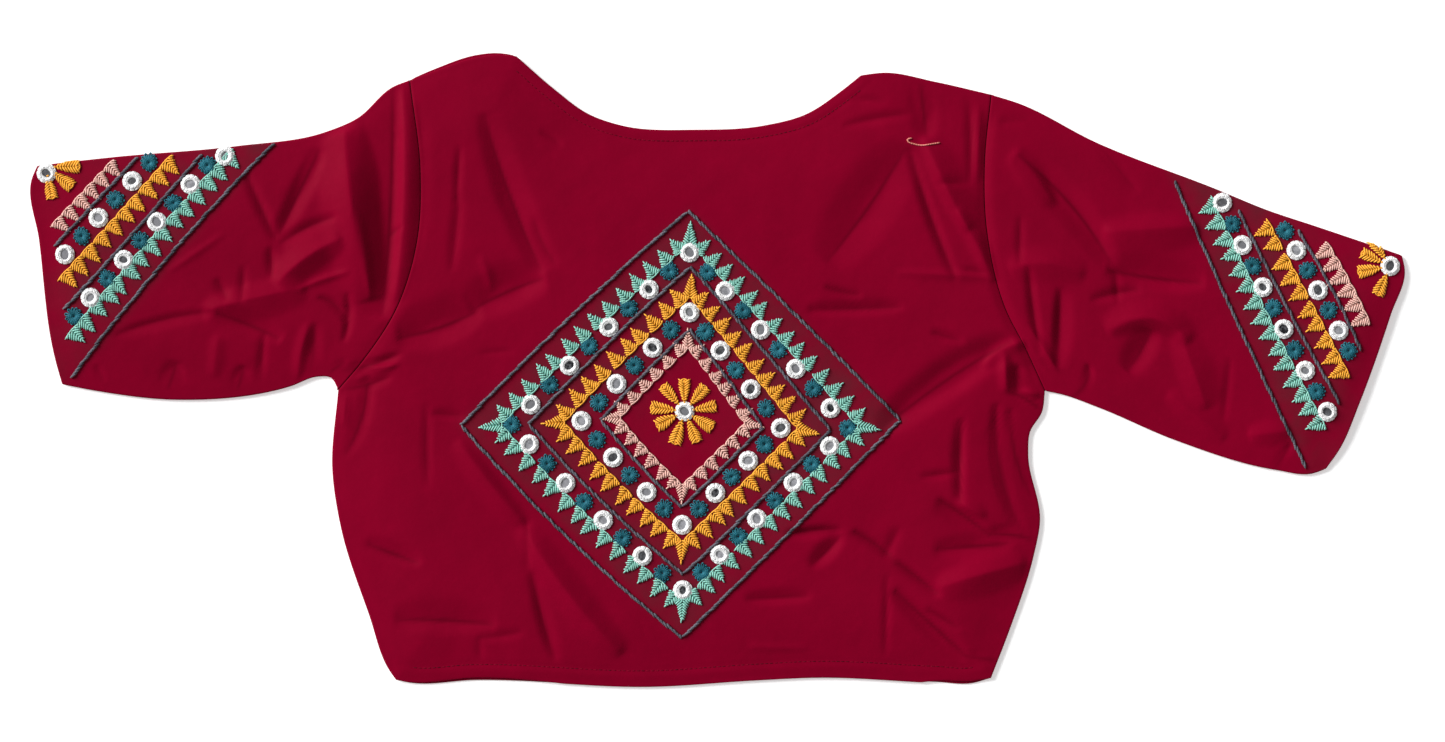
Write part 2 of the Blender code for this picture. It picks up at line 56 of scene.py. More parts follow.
# Edges of the blouse, each a smooth line through its rows. Columns: x, y.
EDGES = {
    "shoulder_left": [(-194.4, 182.9), (-178, 189), (-153, 197.2), (-140, 198.9), (-127.6, 198.2)],
    "neck": [
        (-127.6, 198.2), (-103, 176.8), (-82, 161.6), (-62, 154.6), (-14, 151.7), (29, 154.4),
        (55, 161.4), (77.8, 176.4), (89.8, 186),
    ],
    "shoulder_right": [(89.8, 186), (104, 187.6), (137, 181.8), (171.7, 173.8)],
    "armhole_left": [
        (-239.7, -12.4), (-224.6, 5.2), (-203, 38), (-189.5, 82), (-187.5, 125), (-194.4, 182.9),
    ],
    "armhole_right": [(205.7, -13), (193.1, 14), (180.8, 38), (169, 86), (167.3, 129.3), (171.7, 173.8)],
    "side_left": [
        (-203.2, -195.1), (-207.2, -189.5), (-220.2, -154.2), (-238, -99), (-243.4, -62.8),
        (-239.7, -12.4),
    ],
    "side_right": [
        (171.7, -193.9), (184, -162), (198.6, -117), (202.6, -96), (195.2, -52), (196.2, -39), (204, -26),
        (205.7, -13),
    ],
    "hem": [
        (-203.2, -195.1), (-196.5, -196.6), (-153, -195.2), (-40, -199.1), (23.6, -195), (61.4, -193.2),
        (137, -196.4), (160, -197.2), (171.7, -193.9),
    ],
    "fold_left": [
        (-194.4, 182.9), (-204, 179.4), (-228.5, 158.4), (-248, 150.2), (-304, 141.4), (-380, 134.6),
        (-418, 130.4), (-429.3, 129),
    ],
    "fold_right": [
        (171.7, 173.8), (187.4, 169), (237.8, 143.8), (313.4, 114.4), (345, 101.4), (376.4, 90.9),
        (430.6, 72.6),
    ],
    "under_left": [
        (-239.7, -12.4), (-244.2, -4.6), (-252.5, -4), (-270, -10.2), (-341.8, -18.6), (-392.2, -13),
        (-413.6, -8.9),
    ],
    "under_right": [
        (205.7, -13), (216.4, -15.2), (237.8, -22.8), (288.2, -44.2), (351.2, -62.8), (374, -65.2),
        (382.7, -62.2),
    ],
    "cuff_left": [(-429.3, 129), (-432.6, 121), (-427.9, 82.1), (-417.8, 6.5), (-413.6, -8.9)],
    "cuff_right": [(430.6, 72.6), (432.4, 64), (423.4, 34.8), (404, -20), (391, -50.2), (382.7, -62.2)],
    "front_neck": [(-127.6, 198.2), (-104, 140), (-62, 100), (-19, 88), (25, 98), (66, 134), (89.8, 186)],
}
CENTRE_FRONT_X = -19.0
SLEEVES_FROM = 240.0  # beyond this x on either side, everything is on a sleeve
FRONT_ARMHOLE_INSET = 5.0
BACK_HEM_RISES = [(-150.0, 52.0, 1.6), (152.0, 24.0, 2.4)]  # middle x, half length, amount
SHOULDER_LEFT_SLIP = 1.7

SOLID_LAYER = 3.1  # top of the solids' upper layer at an edge
LAYER_GAP = 0.3  # between the two layers
PUFF, PUFF_REACH = 3.2, 26.0  # how far the upper layer rises off the lower one, and over what distance
SEAM_DIPS, SEAM_DIP_WIDTH = {"armhole_left": 0.5, "armhole_right": 1.2}, 3.5
EDGE_ROLL = 3.0  # distance over which the upper layer rolls down to an edge
CUFF_FLATTENING, CUFF_REACH = 0.6, 14.0
TURNED_EDGES = {"hem": 10.0, "neck": 7.0}  # distances of their stitching from the edge
TURNED_RISE, STITCHED_DIP, STITCHED_WIDTH = 0.35, 0.45, 1.6
# Faint unevenness of the upper layer, and creases of the lower one. Columns: size of the bumps, amount.
UNEVENNESS = [(26.0, 0.25), (11.0, 0.10), (5.0, 0.03)]
LOWER_CREASES = [(30.0, 0.9), (12.0, 0.3)]
CREASE_RISE, STITCHED_RISE = 0.7, 1.2  # of the lower layer off the table, where it is plain and stitched

# Folds and creases as ridges and troughs, with a sharp line along the middle and flat flanks.
# Columns: start x, start y, end x, end y, bow to the left of the run, left width, right width, rise.
FOLDS = [
    # left armhole and shoulder
    (-235.5, 158, -218.5, 44, -3, 20, 20, 5),
    (-206, 184, -212, 32, 2.5, 9, 22, -4),
    (-200, 182, -204, 44, 4, 14, 8, 2.3),
    (-189, 168, -193, 66, 3, 7, 8, -0.6),
    (-227, 100, -219, 46, 1, 3, 3, 0.8),
    (-210, 83, -199, 91, 0, 2, 2, -0.8),
    (-238, 0, -200, 11, -2, 3.5, 5, -1.6),
    (-226, 4, -202, 4, -2, 3, 3, 1.4),
    (-236, -12, -206, -4, -1, 4, 4, -1.2),
    (-221, -2, -236, -54, 4, 5, 4, -1.7),
    (-236, -14, -236, -36, 0, 3, 2, 1),
    # left half of the back
    (-148, 162, -111, 61, -2.5, 13, 8.5, -2.5),
    (-163, 142, -165, 104, 0, 2.5, 2.5, -0.9),
    (-163, 112, -168, 62, 0, 4, 4, -0.9),
    (-202, 20, -150, 38, -2, 20, 12, -3),
    (-156, 37, -109, 58, 2, 18, 12, -2.8),
    (-150, 72, -143, 50, 1, 3, 3, 0.7),
    (-116, 96, -102, 66, -2, 6, 4, -0.9),
    (-113, 150, -99, 141, 1, 4, 3, -0.6),
    (-150, 11, -129, 12.5, 0, 1.8, 1.8, -0.5),
    (-180, -27, -160, -29, 0, 4, 2.5, -1.1),
    (-184, -20, -183, -74, 0, 2, 2, -0.8),
    (-164, -44, -122, -97, -1, 6, 10, 2.2),
    (-123, -98, -61, -178, -3.5, 12, 11, 3.4),
    (-121, -92, -120, -126, 0, 2, 2, -0.7),
    (-118, -126, -103, -183, -1, 7, 3.5, -1.5),
    (-222, -109, -188, -122, 0, 9, 4, -1.8),
    (-204, -157, -140, -160, 1, 15, 8, -2),
    (-152, -168, -122, -164, -1, 3.5, 3, -0.8),
    (-151, -168, -150, -182, 0, 2.5, 2.5, -0.5),
    # right half of the back
    (119, 142, 68, 68, 2, 18, 22, -2.6),
    (120, 141, 150, 56, -2, 4, 4, -1.8),
    (129, 147, 157, 88, -1, 14, 6, 3),
    (150, 101, 173, 56, 1, 7, 5, 1.9),
    (127, 182, 131, 146, 0, 9, 9, -1.8),
    (157, 174, 158, 116, 1, 3, 3, -0.9),
    (164, 168, 163, 120, 0, 3, 3, 0.7),
    (84, 171, 106, 169, 1, 3, 3, -0.7),
    (78, 154, 122, 162, 1, 3, 4, -1),
    (138, 118, 157, 118, 0, 4, 3, -0.8),
    (67, 53, 90, 47, -1, 2.2, 2.2, -1.3),
    (56, 38, 116, 40, 0, 6, 4.5, -1.8),
    (112, 62, 168, 59, 0, 2.5, 4, 0.9),
    (154, 64, 169, 61, 0, 2, 2, -0.8),
    (134, 24, 154, 18, 0, 4, 3, -1.1),
    (102, -38, 186, 19, 3, 14, 12, -3.6),
    (166, 2, 193, 18, 3, 4, 6, 2),
    (180, 11, 181, -14, 0, 4, 4, 2),
    (188, 4, 187, -16, 0, 4.5, 3, -2.4),
    (185, -14, 203, -25, 1, 3, 3, -2.2),
    (191, -13, 205, -16, 0, 2.5, 2.5, 1.5),
    (175, -20, 192, -104, -6.5, 5, 3.5, -2.2),
    (184, -24, 197, -80, -4, 5, 3.5, -2.2),
    (153, -30, 152, -85, -1, 3, 4.5, -1.9),
    (150, -82, 168, -92, 0, 6, 3, 1.5),
    (138, -81, 172, -105, 1, 3.5, 11, -2.2),
    (168, -104, 199, -107, 2, 6, 4, -2),
    (136, -113, 184, -109, 0, 9, 8, -2),
    (138, -137, 194, -121, 1, 11, 14, 3),
    (127, -67, 150, -64, 0, 2.5, 3, -1),
    (42, -103, 78, -100, 1, 2.5, 6, -1.8),
    (77, -103, 58, -123, 1, 6, 7, -2),
    (84, -101, 111, -120, 1.5, 3, 4, -1.9),
    (110, -119, 139, -142, 0.5, 3, 4, -2),
    (110, -138, 157, -181, 0, 6, 8, -2.8),
    (154, -180, 178, -183, 0, 4, 3, -1.4),
    (131, -150, 152, -163, 0, 2.5, 3, -1.2),
    (106, -128, 105, -180, 0, 2, 2, -0.8),
    (17, -144, 58, -142, 0, 6, 4, -1.5),
    (18, -174, 57, -175, 0, 3, 3, 0.6),
    (104, -118, 114, -98, 0, 4, 4, -0.8),
    # left sleeve
    (-298, 124, -278, 80, 0, 4, 3.5, -1.5),
    (-251, 140, -278, 83, 0, 8, 6, -2.2),
    (-278, 54, -237, 83, 3, 12, 11, 3.6),
    (-277, 79, -240, 97, 2, 4, 5, -1.4),
    (-282, 78, -281, 58, 0, 3, 3, -1.2),
    (-324, 37, -260, 52, 1, 10, 14, 2.6),
    (-317, 36, -275, 19, 1, 10, 6, -1.7),
    (-380, 22, -317, 37, 2.5, 3, 6, -1.1),
    (-346, 62, -311, 86, 0, 2.5, 2.5, 0.6),
    (-299, 66, -300, 42, 0, 2.5, 2.5, -0.9),
    (-316, 58, -309, 44, 0, 4, 4, -1),
    (-257, 30, -265, -8, -2, 5, 5, 1.1),
    (-254, 30, -257, -2, 0, 6, 5, -1.1),
    (-252, 46, -234, 31, 3, 3, 3, -1.3),
    (-234, 49, -236, 18, 2, 3.5, 3, -1.2),
    (-264, 51, -232, 62, 1, 2.5, 2.5, 0.9),
    (-299, 3, -303, -13, 0, 6, 5, -1.5),
    (-341, 6, -347, -13, 0, 8, 8, -1.5),
    (-286, 24, -289, -8, 0, 3, 3, -0.9),
    (-315, 22, -318, -4, 0, 6, 5, 0.8),
    (-392, 4, -388, -8, 0, 3, 3, -0.6),
    (-246, -2, -235, 6, 0, 2.5, 2.5, -1.2),
    # right sleeve
    (186, 138, 211, 105, 1, 7, 12, 2.2),
    (188, 136, 248, 66, 5, 10, 12, -3),
    (242, 87, 302, 91, 0, 10, 16, 2.6),
    (244, 63, 306, 55, -1, 14, 8, -2.8),
    (234, 44, 266, 51, 1, 4, 3, -1.5),
    (250, 63, 251, 42, 0, 2.5, 2.5, -0.7),
    (245, 24, 296, 18, 12, 13, 8, 3.4),
    (273, 26, 257, -1, 1, 9, 11, -2.4),
    (290, 24, 307, -24, 0, 14, 10, 2.2),
    (283, -15, 319, -43, 0, 10, 8, 1.5),
    (322, 8, 318, -32, 0, 3, 3, -0.6),
    (361, -46, 350, -62, 0, 2.5, 2.5, -1.3),
    (334, -41, 360, -38, 0, 8, 8, 1.5),
    (215, 52, 213, 2, 0, 9, 3.5, -2.2),
    (195, 66, 203, 10, -1, 3.5, 3.5, -1.5),
    (196, 27, 213, 0, 0, 3.5, 3, 1.2),
    (190, 98, 189, 66, 0, 3, 2.5, -0.8),
    (183, 63, 230, 60, 6, 11, 12, 2),
    (233, 4, 221, -18, 4, 3.5, 3, -2.2),
    (240, 141, 264, 112, 0, 5, 5, -0.7),
    (176, 156, 196, 160, 0, 4, 4, -0.6),
]
FOLD_STRENGTH = 1.3
FOLD_CREST = 0.5  # how far from its line a fold is rounded over
PULL, PULL_REACH = 0.62, 2.6  # how much closer the cloth's mesh is drawn to a fold's line, and from how far

# The embroidered diamonds: corners of their three outline ropes from the outermost in, how far each side of
# a rope bows to the left of its run, their middle and the directions of its petals in degrees. The sleeves
# have one quarter each on this side, from the sleeve's fold to its cuff.
DIAMONDS = {
    "back": {
        "ropes": [
            [(-19.2, 100.4), (114.3, -31.3), (-23.0, -168.3), (-162.2, -34.5)],
            [(-17.7, 65.4), (70.4, -37.8), (-22.2, -128.3), (-119.5, -33.8)],
            [(-18.3, 26.0), (28.0, -35.7), (-23.1, -86.0), (-74.2, -31.1)],
        ],
        "bows": [(0.9, 0.9, 4.4, 2.2), (0.6, 0.6, 2.9, 1.5), (0.3, 0.3, 1.5, 0.7)],
        "middle": (-21.3, -25.8),
        "petals": (88, 50, 12, -30, -68, -106, -150, 172, 132),
    },
    "left": {
        "ropes": [
            [(-280.0, 143.2), (-407.9, -4.9)],
            [(-325.4, 136.3), (-412.3, 38.0)],
            [(-365.7, 134.4), (-418.0, 77.7)],
        ],
        "bows": [(-3.0,), (1.0,), (0.0,)],
        "middle": (-423.7, 128.1),
        "petals": (2, -36, -78),
    },
    "right": {
        "ropes": [
            [(287.0, 119.3), (370.1, -61.6)],
            [(327.3, 101.0), (391.2, -21.2)],
            [(364.8, 88.4), (404.5, 12.2)],
        ],
        "bows": [(-1.5,), (-1.5,), (1.5,)],
        "middle": (423.0, 65.7),
        "petals": (126, 154, 189, 243),
    },
}

# Rows of mirrors and rosettes, on every other station of a row.
# Columns: panel, row (0 on the outermost rope, 1 and 2 on the next), stations a side, place of the first
# station, and which station has the first mirror.
STATION_ROWS = [
    ("back", 0.75, 9.0, 0.0, 0),
    ("back", 1.735, 6.0, 0.0, 0),
    ("left", 0.75, 9.3, -0.25, 0),
    ("left", 1.735, 5.85, 0.35, 1),
    ("right", 0.75, 10.4, 0.0, 0),
    ("right", 1.735, 7.0, 0.3, 1),
]
# Rows of triangles. Columns: panel, thread, row of the bases, height, width, triangles a side, corner height.
TRIANGLE_ROWS = [
    ("back", "mint", 0.60, 10.4, 9.8, 14, 14.0),
    ("back", "yellow", 1.49, 11.0, 10.2, 10, 14.0),
    ("back", "pink", 2.23, 8.6, 8.8, 6, 12.0),
    ("left", "mint", 0.60, 11.2, 11.2, 15, 0.0),
    ("left", "yellow", 1.49, 11.2, 11.0, 10, 0.0),
    ("left", "pink", 2.27, 11.2, 9.4, 6, 0.0),
    ("right", "mint", 0.60, 11.2, 11.2, 15, 0.0),
    ("right", "yellow", 1.49, 11.2, 11.0, 10, 0.0),
    ("right", "pink", 2.31, 12.6, 10.4, 6, 0.0),
]
FLOWER_START, FLOWER_END = 5.6, 20.6  # distances of the petals' ends from the middle mirror's middle
PETAL_WIDTH = 8.0
ROPE_PITCH, TOPSTITCH_PITCH = 2.6, 3.0
DISC_RADIUS, DISC_THICKNESS, DISC_SIDES = 5.0, 0.8, 20
RING_INNER, RING_OUTER = 2.6, 6.1
RING_ROUND, RING_FOOT = 4.3, 5.9  # radii of the stitches that run round a ring, on top of it and at its foot
EDGE_CLEARANCE = 5.6  # least distance of a mirror's middle from a sleeve's fold and cuff


class CholiCloth(PropertyGroup):
    wall: FloatProperty(
        name="Cloth", description="Thickness of the cloth", default=0.001, min=0.0005, max=0.003,
        unit="LENGTH",
    )
    spacing: FloatProperty(
        name="Mesh spacing", description="Distance between the points of a panel's mesh", default=0.0020,
        min=0.0015, max=0.01, unit="LENGTH",
    )
    colour: FloatVectorProperty(
        name="Cotton", description="Colour of the crimson cotton", subtype="COLOR", size=3,
        default=(0.215, 0.0001, 0.0165), min=0.0, max=1.0,
    )
    seam_thread: FloatVectorProperty(
        name="Sewing thread", description="Colour of the thread of the seams and hems", subtype="COLOR",
        size=3, default=(0.17, 0.001, 0.018), min=0.0, max=1.0,
    )


class CholiThreads(PropertyGroup):
    mint: FloatVectorProperty(
        name="Mint", description="Thread of the outer triangles", subtype="COLOR", size=3,
        default=(0.105, 0.55, 0.42), min=0.0, max=1.0,
    )
    yellow: FloatVectorProperty(
        name="Yellow", description="Thread of the middle triangles and the flower", subtype="COLOR",
        size=3, default=(1.0, 0.43, 0.004), min=0.0, max=1.0,
    )
    pink: FloatVectorProperty(
        name="Pink", description="Thread of the inner triangles", subtype="COLOR", size=3,
        default=(0.82, 0.38, 0.29), min=0.0, max=1.0,
    )
    teal: FloatVectorProperty(
        name="Teal", description="Thread of the rosettes", subtype="COLOR", size=3,
        default=(0.004, 0.150, 0.205), min=0.0, max=1.0,
    )
    slate: FloatVectorProperty(
        name="Slate", description="Thread of the outline ropes", subtype="COLOR", size=3,
        default=(0.055, 0.052, 0.082), min=0.0, max=1.0,
    )
    white: FloatVectorProperty(
        name="White", description="Thread of the rings round the mirrors", subtype="COLOR", size=3,
        default=(0.88, 0.88, 0.88), min=0.0, max=1.0,
    )
    salmon: FloatVectorProperty(
        name="Salmon", description="A loose end of tacking thread", subtype="COLOR", size=3,
        default=(0.80, 0.20, 0.14), min=0.0, max=1.0,
    )
    strand: FloatProperty(
        name="Strand", description="Thickness of the embroidery thread", default=0.0012, min=0.0004,
        max=0.002, unit="LENGTH",
    )
    ring_stitches: IntProperty(
        name="Ring stitches", description="Stitches round each mirror", default=34, min=12, max=40
    )


class CholiStage(PropertyGroup):
    key: FloatProperty(name="Key", description="Strength of the key light", default=5.2)
    fill: FloatProperty(name="Fill", description="Strength of the fill light", default=4.0, unit="POWER")
    world: FloatProperty(name="Surroundings", description="Strength of light from all round", default=0.24)
    floor: FloatVectorProperty(
        name="Floor", description="Colour of the floor", subtype="COLOR", size=3,
        default=(0.93, 0.93, 0.93), min=0.0, max=1.0,
    )


# Lines and sheets of points


def curve(rows, steps):
    """steps + 1 points, evenly spaced along the smooth line through the rows."""
    knots = np.asarray(rows, float)
    chord = np.r_[0.0, np.cumsum(np.linalg.norm(np.diff(knots, axis=0), axis=1))]
    slope = np.gradient(knots, chord, axis=0)
    along = np.linspace(0.0, chord[-1], 60 * len(knots))
    i = np.clip(np.searchsorted(chord, along, side="right") - 1, 0, len(chord) - 2)
    span = (chord[i + 1] - chord[i])[:, None]
    t = (along - chord[i])[:, None] / span
    points = (
        (2 * t**3 - 3 * t**2 + 1) * knots[i]
        + (t**3 - 2 * t**2 + t) * span * slope[i]
        + (3 * t**2 - 2 * t**3) * knots[i + 1]
        + (t**3 - t**2) * span * slope[i + 1]
    )
    return resample(points, steps)


def run_length(points):
    """Length of a run of points."""
    return np.linalg.norm(np.diff(points, axis=0), axis=1).sum()


def left_of(runs):
    """Directions to the left of a run or of each of some runs, as long as they are."""
    return np.stack([-runs[..., 1], runs[..., 0]], axis=-1)


def resample(points, steps):
    """steps + 1 points, evenly spaced by length along a run of points."""
    length = np.r_[0.0, np.cumsum(np.linalg.norm(np.diff(points, axis=0), axis=1))]
    want = np.linspace(0.0, length[-1], steps + 1)
    return np.stack([np.interp(want, length, points[:, axis]) for axis in (0, 1)], axis=1)


def joined(*runs):
    """Runs of points that share their end points, as one run."""
    return np.concatenate([runs[0]] + [run[1:] for run in runs[1:]])


def coons(low, high, left, right):
    """Points of a four-sided panel, grid[row, column], rows from the low edge to the high one."""
    v = np.linspace(0.0, 1.0, len(left))[:, None, None]
    u = np.linspace(0.0, 1.0, len(low))[None, :, None]
    sides = (1 - u) * left[:, None] + u * right[:, None]
    ends = (1 - v) * low[None, :] + v * high[None, :]
    corners = (1 - v) * ((1 - u) * low[0] + u * low[-1]) + v * ((1 - u) * high[0] + u * high[-1])
    return sides + ends - corners


def fold_line(x0, y0, x1, y1, bow):
    """A bowed line from one point to another."""
    start, end = np.array([x0, y0]), np.array([x1, y1])
    run = end - start
    side = left_of(run) / np.linalg.norm(run)
    t = np.linspace(0.0, 1.0, 13)[:, None]
    return start + t * run + 4 * bow * t * (1 - t) * side


def offset_line(line, amount):
    """The line moved sideways, to the left of its run."""
    side = left_of(np.gradient(line, axis=0))
    return line + amount * side / np.linalg.norm(side, axis=1)[:, None]


@lru_cache(maxsize=None)
def edge(name, steps=60):
    """A named edge of the blouse."""
    return curve(EDGES[name], steps)


# Heights of the cloth

MAP_LOW, MAP_STEP = np.array([-442.0, -208.0]), 0.5
MAP_X = MAP_LOW[0] + MAP_STEP * np.arange(1769)
MAP_Y = MAP_LOW[1] + MAP_STEP * np.arange(833)


def bell(far, width):
    """1 on a line, and fading away over a width on either side of it."""
    return np.exp(-((far / width) ** 2))


def flat_map(value=0.0):
    return np.full((len(MAP_Y), len(MAP_X)), value)


def window(line, reach):
    """Part of the map within a reach of a line's points."""
    low, high = line.min(axis=0) - reach, line.max(axis=0) + reach
    x = slice(np.searchsorted(MAP_X, low[0]), np.searchsorted(MAP_X, high[0]))
    return slice(np.searchsorted(MAP_Y, low[1]), np.searchsorted(MAP_Y, high[1])), x


def distance_map(line, reach):
    """Distance of each point of the map to a line, out to a reach."""
    far = flat_map(1e3)
    for a, b in zip(line[:-1], line[1:]):
        y, x = window(np.array([a, b]), reach)
        dx, dy = np.meshgrid(MAP_X[x] - a[0], MAP_Y[y] - a[1])
        step = b - a
        t = np.clip((dx * step[0] + dy * step[1]) / max(step @ step, 1e-9), 0.0, 1.0)
        far[y, x] = np.minimum(far[y, x], np.hypot(dx - t * step[0], dy - t * step[1]))
    return far


@lru_cache(maxsize=None)
def folds_maps():
    """Maps of the folds: their height, the painted shade along their troughs, and how far x and y are drawn
    to them.
    """
    height, pinch, pull_x, pull_y = (flat_map() for _ in range(4))
    for x0, y0, x1, y1, bow, left, right, rise in FOLDS:
        line = fold_line(x0, y0, x1, y1, bow)
        y, x = window(line, 1.4 * max(left, right) + PULL_REACH)
        px, py = np.meshgrid(MAP_X[x], MAP_Y[y])
        far = np.full(px.shape, 1e3)
        off_x, off_y, where, side = (np.zeros(px.shape) for _ in range(4))
        for i in range(len(line) - 1):
            step = line[i + 1] - line[i]
            dx, dy = px - line[i, 0], py - line[i, 1]
            t = np.clip((dx * step[0] + dy * step[1]) / (step @ step), 0.0, 1.0)
            gap_x, gap_y = dx - t * step[0], dy - t * step[1]
            near = np.hypot(gap_x, gap_y)
            closer = near < far
            for kept, value in (
                (far, near),
                (off_x, gap_x),
                (off_y, gap_y),
                (where, (i + t) / (len(line) - 1)),
                (side, step[0] * dy - step[1] * dx),
            ):
                kept[closer] = value[closer]
        taper = np.sqrt(np.clip(np.sin(math.pi * where), 0.0, 1.0))
        wide = np.where(side > 0, left, right) * (0.45 + 0.55 * taper)
        slope = 1 - (np.hypot(far, FOLD_CREST) - FOLD_CREST) / wide
        height[y, x] += FOLD_STRENGTH * rise * taper * 0.5 * (slope + np.sqrt(slope**2 + 0.03))
        share = taper * min(1.0, abs(rise) / 1.2) * bell(far, PULL_REACH)
        pull_x[y, x] -= PULL * share * off_x
        pull_y[y, x] -= PULL * share * off_y
        # Painted shade: a dark line along the middle of each trough, where the cloth would shade itself.
        if rise < 0:
            pinch[y, x] += taper * min(1.0, -rise / 2.0) * bell(far, 1.2)
    return height, np.minimum(pinch, 1.0), pull_x, pull_y


def slow_noise(size, seed):
    """Smooth random values from -1 to 1 on the map, with bumps about this size."""
    rng = np.random.default_rng(seed)
    y, x = (MAP_Y - MAP_Y[0]) / size, (MAP_X - MAP_X[0]) / size
    coarse = rng.uniform(-1.0, 1.0, (int(y[-1]) + 3, int(x[-1]) + 3))
    i, j = y.astype(int), x.astype(int)
    fy, fx = (y - i)[:, None], (x - j)[None, :]
    fy, fx = fy * fy * (3 - 2 * fy), fx * fx * (3 - 2 * fx)
    a, b = coarse[i][:, j], coarse[i][:, j + 1]
    c, d = coarse[i + 1][:, j], coarse[i + 1][:, j + 1]
    return (a * (1 - fx) + b * fx) * (1 - fy) + (c * (1 - fx) + d * fx) * fy


def summed_noise(table, seed):
    """Slow noises of the sizes and amounts in a table, added up."""
    return sum(amount * slow_noise(size, seed + k) for k, (size, amount) in enumerate(table))


@lru_cache(maxsize=None)
def edge_distance():
    """Distance to the folded, sewn and hemmed edges at which the two layers meet."""
    outlines = [
        joined(edge("side_left")[::-1], edge("hem"), edge("side_right")),
        joined(edge("fold_left")[::-1], edge("shoulder_left"), edge("neck")),
        joined(edge("shoulder_right"), edge("fold_right")),
        edge("under_left"),
        edge("under_right"),
    ]
    return np.min([distance_map(line, 60.0) for line in outlines], axis=0)


@lru_cache(maxsize=None)
def cuff_distance():
    return np.minimum(distance_map(edge("cuff_left"), 60.0), distance_map(edge("cuff_right"), 60.0))


@lru_cache(maxsize=None)
def upper_map():
    """Height of the upper layer's outer face: puffed and folded, with turned hems and faint unevenness."""
    near = edge_distance()
    inner = 1 - bell(near, EDGE_ROLL)
    lift = PUFF * (1 - bell(near, PUFF_REACH))
    lift += folds_maps()[0]
    for name, depth in SEAM_DIPS.items():
        lift -= depth * bell(distance_map(edge(name), 20.0), SEAM_DIP_WIDTH)
    lift *= (1 - CUFF_FLATTENING * bell(cuff_distance(), CUFF_REACH)) * inner
    fine = summed_noise(UNEVENNESS, SEED)
    for name, reach in TURNED_EDGES.items():
        far = distance_map(edge(name), 20.0)
        fine += TURNED_RISE / (1 + np.exp(np.clip(far - reach, -20.0, 20.0) / 0.8))
        fine -= STITCHED_DIP * bell(far - reach, STITCHED_WIDTH)
    lift += fine * inner
    base = 2 * wall() + LAYER_GAP
    rise = (SOLID_LAYER - base) * (1 - bell(near, 6.0))
    low = 0.5 * (lift + np.sqrt(lift**2 + 0.25)) - 0.25 - 0.25 * rise
    return base + rise + np.maximum(low, -0.25 * rise)


PLAINER_FROM, PLAINER_OVER = 46.0, 16.0  # depth within the outer ropes where the ground turns redder again


@lru_cache(maxsize=None)
def worked_depth():
    """How far places are within the outer ropes of the embroidered diamonds."""
    total = flat_map(-1e6)
    x, y = np.meshgrid(MAP_X, MAP_Y)
    for diamond in DIAMONDS.values():
        corners = list(diamond["ropes"][0])
        if len(corners) == 2:
            corners.append(diamond["middle"])
        middle = np.mean(corners, axis=0)
        far = np.full_like(x, 1e6)
        for a, b in zip(corners, corners[1:] + corners[:1]):
            run = np.subtract(b, a) / np.hypot(*np.subtract(b, a))
            sign = np.sign(run[0] * (middle[1] - a[1]) - run[1] * (middle[0] - a[0]))
            if len(corners) == 3 and tuple(diamond["middle"]) in (tuple(a), tuple(b)):
                continue
            far = np.minimum(far, sign * (run[0] * (y - a[1]) - run[1] * (x - a[0])))
        if len(corners) == 3:
            far[np.sign(x) != np.sign(middle[0])] = -1e6
        total = np.maximum(total, far)
    return total


@lru_cache(maxsize=None)
def worked_map():
    """1 within the embroidered diamonds, 0 outside them."""
    return 1 / (1 + np.exp(-np.clip(worked_depth(), -30, 30) / 1.5))


def ground_map():
    """How brown the cloth is between the stitches, less so inside the inner ropes and at the cuffs."""
    middle = np.clip((worked_depth() - PLAINER_FROM) / PLAINER_OVER, 0.0, 1.0)
    return worked_map() * (1 - 0.75 * middle) * np.clip(cuff_distance() / 25.0, 0.3, 1.0)


@lru_cache(maxsize=None)
def lower_map():
    """Height of the lower layer's outer face, which lies on the table but for creases and stitching."""
    inner = 1 - bell(edge_distance(), 10.0)
    creases = np.maximum(summed_noise(LOWER_CREASES, SEED + 5), 0.0)
    stitched = np.where(np.abs(MAP_X) > SLEEVES_FROM, worked_map(), 0.0)
    open_end = 1 - bell(cuff_distance(), 5.0)
    return inner * (CREASE_RISE * creases * (1 - stitched) * open_end + STITCHED_RISE * stitched)


def read_map(heights, points):
    """Values of a map at points, in between its own."""
    points = np.asarray(points, float)
    place = (points - MAP_LOW) / MAP_STEP
    limit = np.array([len(MAP_X) - 2, len(MAP_Y) - 2])
    cell = np.clip(np.floor(place).astype(int), 0, limit)
    f = np.clip(place - cell, 0.0, 1.0)
    i, j = cell[..., 1], cell[..., 0]
    fx, fy = f[..., 0], f[..., 1]
    low = heights[i, j] * (1 - fx) + heights[i, j + 1] * fx
    high = heights[i + 1, j] * (1 - fx) + heights[i + 1, j + 1] * fx
    return low * (1 - fy) + high * fy


def wall():
    """Thickness of the cloth in millimetres."""
    return bpy.context.scene.choli_cloth.wall / MM


@lru_cache(maxsize=None)
def middle_of_all():
    """Middle of the blouse's outline, which the solids have over the origin."""
    points = np.concatenate([curve(rows, 120) for name, rows in EDGES.items() if name != "front_neck"])
    return (points.min(axis=0) + points.max(axis=0)) / 2


def placed(points):
    """Points in the tables' millimetres as metres in the row's frame."""
    points = np.asarray(points, float).reshape(-1, 3).copy()
    points[:, :2] -= middle_of_all()
    return points * MM


# Making meshes


def added(name, data):
    """A new object in the scene."""
    made = bpy.data.objects.new(name, data)
    bpy.context.scene.collection.objects.link(made)
    return made


